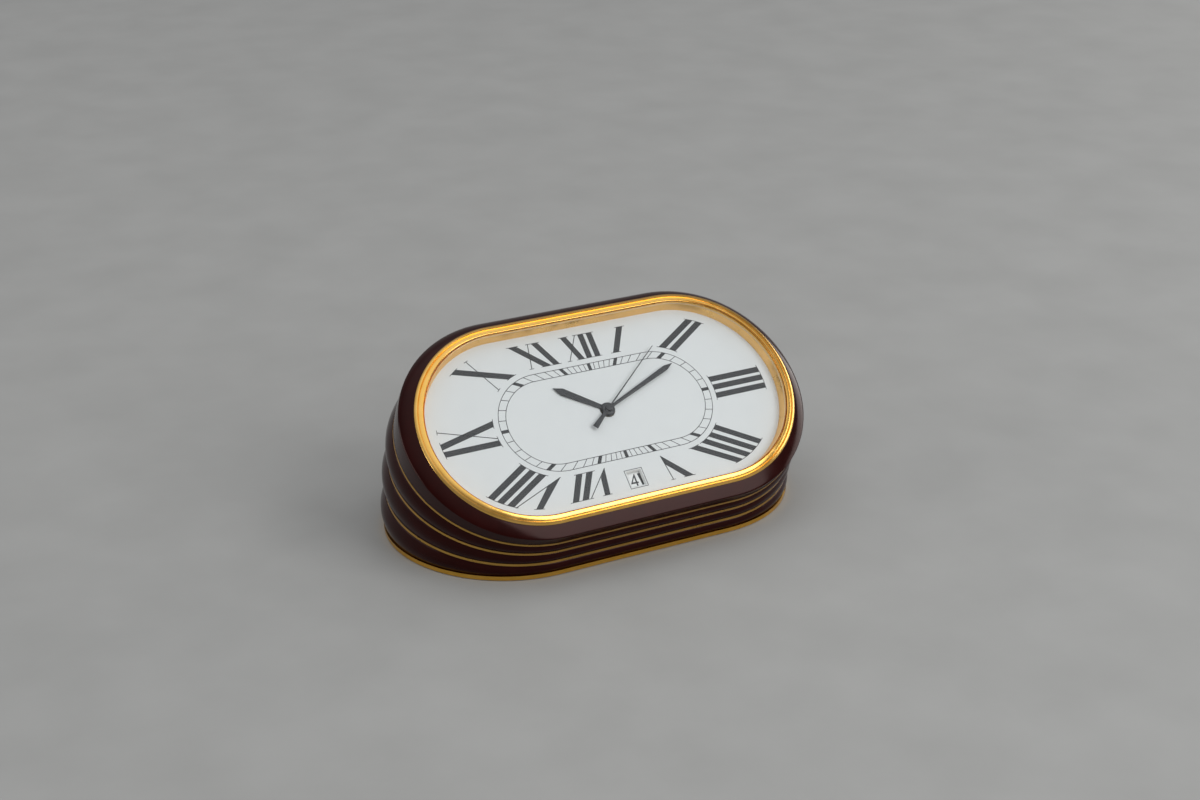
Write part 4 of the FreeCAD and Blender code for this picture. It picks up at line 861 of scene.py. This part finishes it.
def glass(name):
    """Clear lens: light passes straight through; both surfaces reflect more at a slant."""
    made = material(name)
    nodes, links = made.node_tree.nodes, made.node_tree.links
    nodes.remove(nodes["Principled BSDF"])
    clear = nodes.new("ShaderNodeBsdfTransparent")
    gloss = nodes.new("ShaderNodeBsdfGlossy")
    slant = nodes.new("ShaderNodeLayerWeight")
    steep = nodes.new("ShaderNodeMath")
    share = nodes.new("ShaderNodeMath")
    mix = nodes.new("ShaderNodeMixShader")
    dust = texture(made, DUST_GRAIN, 6.0)
    clearness = ramp(made, dust.outputs[0], ((NOISE_LOW, (0.985, 0.99, 0.99)),
                                             (NOISE_HIGH, (0.995, 1.0, 1.0))))
    links.new(clearness, clear.inputs["Color"])
    links.new(spread(made, dust, 0.0, 0.02), gloss.inputs["Roughness"])
    steep.operation = "POWER"
    share.operation = "MULTIPLY_ADD"
    slant.inputs["Blend"].default_value = 0.5
    steep.inputs[1].default_value = SLANT_POWER
    share.inputs[1].default_value = SLANT_SHINE
    share.inputs[2].default_value = LENS_SHINE
    links.new(slant.outputs["Facing"], steep.inputs[0])
    links.new(steep.outputs["Value"], share.inputs[0])
    links.new(share.outputs["Value"], mix.inputs["Fac"])
    links.new(clear.outputs["BSDF"], mix.inputs[1])
    links.new(gloss.outputs["BSDF"], mix.inputs[2])
    links.new(mix.outputs["Shader"], nodes["Material Output"].inputs["Surface"])
    return made


def paint(thing, made):
    thing.data.materials.clear()
    thing.data.materials.append(made)


def build_materials():
    return {
        "lacquer": finish_of("lacquer", (0.015, 0.0013, 0.001), (0.021, 0.0018, 0.0014),
                             roughness=(0.13, 0.18), grain=260.0, fine=900.0, height=0.0015,
                             specular=0.15, tint=(1.0, 0.72, 0.68)),
        "gilt": gilding("gilt", (0.84, 0.49, 0.11), (0.9, 0.54, 0.15), (0.2, 0.27), 0.0004),
        "pale_gilt": gilding("pale_gilt", (0.92, 0.56, 0.2), (0.97, 0.6, 0.24), (0.26, 0.34)),
        "base_gilt": gilding("base_gilt", (0.8, 0.45, 0.07), (0.88, 0.51, 0.1), (0.14, 0.22)),
        "line_gilt": gilding("line_gilt", (0.6, 0.35, 0.08), (0.68, 0.4, 0.1), (0.25, 0.35)),
        "felt": finish_of("felt", (0.010, 0.008, 0.008), (0.03, 0.024, 0.024),
                          roughness=(0.9, 1.0), grain=2600.0, fine=9000.0, height=0.05),
        "lens": glass("lens"),
        # painted reflection: a matt pale gold that stands in for the gilt bezel mirrored in the
        # lens's edge
        "lens_edge_reflection": finish_of("lens_edge_reflection", (0.88, 0.64, 0.36), (0.94, 0.69, 0.4),
                               roughness=(0.3, 0.4), height=0.0005),
        "gasket": finish_of("gasket", (0.6, 0.5, 0.34), (0.66, 0.56, 0.4),
                            roughness=(0.5, 0.65)),
        "dial_paint": finish_of("dial_paint", (0.71, 0.731, 0.731), (0.727, 0.748, 0.748),
                                roughness=(0.42, 0.5), grain=300.0, fine=15000.0, height=0.0012),
        "hand_paint": finish_of("hand_paint", (0.022, 0.023, 0.026), (0.04, 0.042, 0.046),
                                roughness=(0.28, 0.4), grain=1200.0, height=0.001),
        "print": finish_of("dial_print", (0.026, 0.028, 0.03), (0.04, 0.042, 0.045),
                           roughness=(0.5, 0.62), grain=1800.0, height=0.001),
        "calendar_paint": finish_of("calendar_paint", (0.8, 0.81, 0.8), (0.86, 0.87, 0.86),
                                    roughness=(0.5, 0.6), grain=500.0, fine=15000.0,
                                    height=0.001),
        "plastic_white": finish_of("plastic_white", (0.56, 0.56, 0.52), (0.64, 0.64, 0.6),
                                   roughness=(0.4, 0.5), grain=500.0, fine=5000.0),
        "plastic_black": finish_of("plastic_black", (0.012, 0.012, 0.014), (0.024, 0.024, 0.026),
                                   roughness=(0.4, 0.55), grain=700.0, fine=7000.0),
        "movement_brass": finish_of("movement_brass", (0.55, 0.40, 0.17), (0.66, 0.5, 0.24),
                                    metallic=1.0, roughness=(0.3, 0.42), grain=700.0,
                                    fine=5000.0, stretch=(1, 8, 1)),
        "steel": finish_of("steel", (0.45, 0.45, 0.46), (0.6, 0.6, 0.61), metallic=1.0,
                           roughness=(0.22, 0.34), fine=7000.0, height=0.001),
        "circuit_green": finish_of("circuit_green", (0.008, 0.06, 0.022), (0.014, 0.09, 0.034),
                                   roughness=(0.3, 0.45), grain=1500.0),
        "copper_wire": finish_of("copper_wire", (0.5, 0.18, 0.06), (0.68, 0.28, 0.1),
                                 metallic=1.0, roughness=(0.25, 0.35), fine=9000.0,
                                 height=0.01, stretch=(1, 14, 1)),
        "cell_steel": finish_of("cell_steel", (0.52, 0.52, 0.53), (0.64, 0.64, 0.65),
                                metallic=1.0, roughness=(0.2, 0.3), fine=7000.0, height=0.001),
    }


# ---------------------------------------------------------------- camera, floor and light

CAMERA_PLACE = Vector((-196.86, -374.26, 220.60))    # from the middle of the base, in mm
CAMERA_AZIMUTH = -28.075
CAMERA_ELEVATION = 24.592
CAMERA_ROLL = -0.569
CAMERA_LENS = 58.692
CAMERA_SENSOR = 36.0
CAMERA_CLIP = (0.01, 20.0)  # metres
FLOOR_HALF = 3.0            # metres


def build_camera():
    az, el, roll = (math.radians(v) for v in (CAMERA_AZIMUTH, CAMERA_ELEVATION, CAMERA_ROLL))
    ahead = Vector((-math.sin(az) * math.cos(el), math.cos(az) * math.cos(el), -math.sin(el)))
    right = Vector((math.cos(az), math.sin(az), 0))
    down = ahead.cross(right)
    c, s = math.cos(roll), math.sin(roll)
    turned_right = right * c + down * s
    turned_down = down * c - right * s
    data = bpy.data.cameras.new("camera")
    data.sensor_width = CAMERA_SENSOR
    data.sensor_fit = "HORIZONTAL"
    data.lens = CAMERA_LENS
    data.clip_start, data.clip_end = CAMERA_CLIP
    camera = bpy.data.objects.new("camera", data)
    axes = Matrix((turned_right, -turned_down, -ahead)).transposed().to_4x4()
    axes.translation = (CAMERA_PLACE + Vector((0, BASE_Y, 0))) * MM
    camera.matrix_world = axes
    bpy.context.scene.collection.objects.link(camera)
    bpy.context.scene.camera = camera


def build_floor():
    corners = [(x * FLOOR_HALF, y * FLOOR_HALF, 0) for x, y in ((-1, -1), (1, -1), (1, 1), (-1, 1))]
    floor = new_object("floor", corners, [(0, 1, 2, 3)])
    paint(floor, finish_of("floor", (0.33, 0.33, 0.32), (0.36, 0.36, 0.35),
                           roughness=(0.75, 0.85), grain=40.0, fine=1500.0, height=0.01))


# Height of a direction, from the horizon to straight up, and the room's colour there.
SKY = ((0.0, (0.24, 0.23, 0.22)), (0.5, (0.24, 0.24, 0.25)), (0.8, (0.86, 0.87, 0.89)),
       (1.0, (1.0, 1.02, 1.04)))
LAMP_DISTANCE = 1.0                  # metres from the clock
LAMP_TARGET = Vector((0, 0, 0.02))
# Lamps as (name, direction from the clock, sides in metres, watts, colour).
LAMPS = (
    ("key", (0.41, -0.72, 0.56), (0.6, 0.56), 4.2, (1.0, 1.0, 1.0)),
    ("right", (0.95, 0.0, 0.12), (1.0, 0.35), 3.3, (1.0, 0.98, 0.95)),
    ("left", (-0.94, 0.28, 0.2), (0.9, 0.3), 2.4, (1.0, 0.98, 0.95)),
)


def build_lamp(name, direction, sides, power, colour):
    data = bpy.data.lights.new(name, "AREA")
    data.shape = "RECTANGLE"
    data.size, data.size_y = sides
    data.energy = power
    data.color = colour
    thing = bpy.data.objects.new(name, data)
    away = Vector(direction).normalized()
    thing.location = LAMP_TARGET + away * LAMP_DISTANCE
    thing.rotation_euler = (-away).to_track_quat("-Z", "Y").to_euler()
    bpy.context.scene.collection.objects.link(thing)


def build_room():
    """Studio dome: dim walls and a bright ceiling."""
    world = bpy.data.worlds.new("room")
    world.use_nodes = True
    nodes, links = world.node_tree.nodes, world.node_tree.links
    coordinates = nodes.new("ShaderNodeTexCoord")
    split = nodes.new("ShaderNodeSeparateXYZ")
    links.new(coordinates.outputs["Generated"], split.inputs["Vector"])
    links.new(ramp(world, split.outputs["Z"], SKY), nodes["Background"].inputs["Color"])
    bpy.context.scene.world = world


def build_light():
    build_room()
    for row in LAMPS:
        build_lamp(*row)
    bpy.context.scene.view_settings.view_transform = "Standard"


# ---------------------------------------------------------------- the dressed clock

BEVELS = {"base_plate": 0.14, "gilt_band_1": 0.12, "gilt_band_2": 0.12, "gilt_band_3": 0.12,
          "dial": 0.04}


def main():
    finishes = build_materials()
    slots = {part["node"]: part["material_slot"] for part in frame["record"]["subparts"]}
    for node, thing in NODES.items():
        paint(thing, finishes[slots[node]])
        smooth(thing, NODE_CREASE)
    paint(NODES["rehaut_ring"], finishes["pale_gilt"])
    for turn in range(CROWN):
        paint(NODES[f"gilt_band_{turn + 1}"], finishes["line_gilt"])
    for turn in range(CROWN):
        paint(build_roll(turn), finishes["lacquer"])
    paint(build_crown(), finishes["lacquer"])
    paint(profile_ring("bezel_beads", bezel_profile(), "bezel"), finishes["gilt"])
    # ring at the lens's edge: painted reflection of the gilt bezel, laid over the shade under the
    # lip
    paint(profile_ring("lens_edge_reflection", lens_edge_profile()), finishes["lens_edge_reflection"])
    for piece in (build_numerals(), build_track(), build_dates(), build_date_bars()):
        paint(piece, finishes["print"])
    for hand in build_hands():
        paint(hand, finishes["hand_paint"])
    for node, width in BEVELS.items():
        bevelled(NODES[node], width)
    build_floor()
    build_light()
    build_camera()


main()
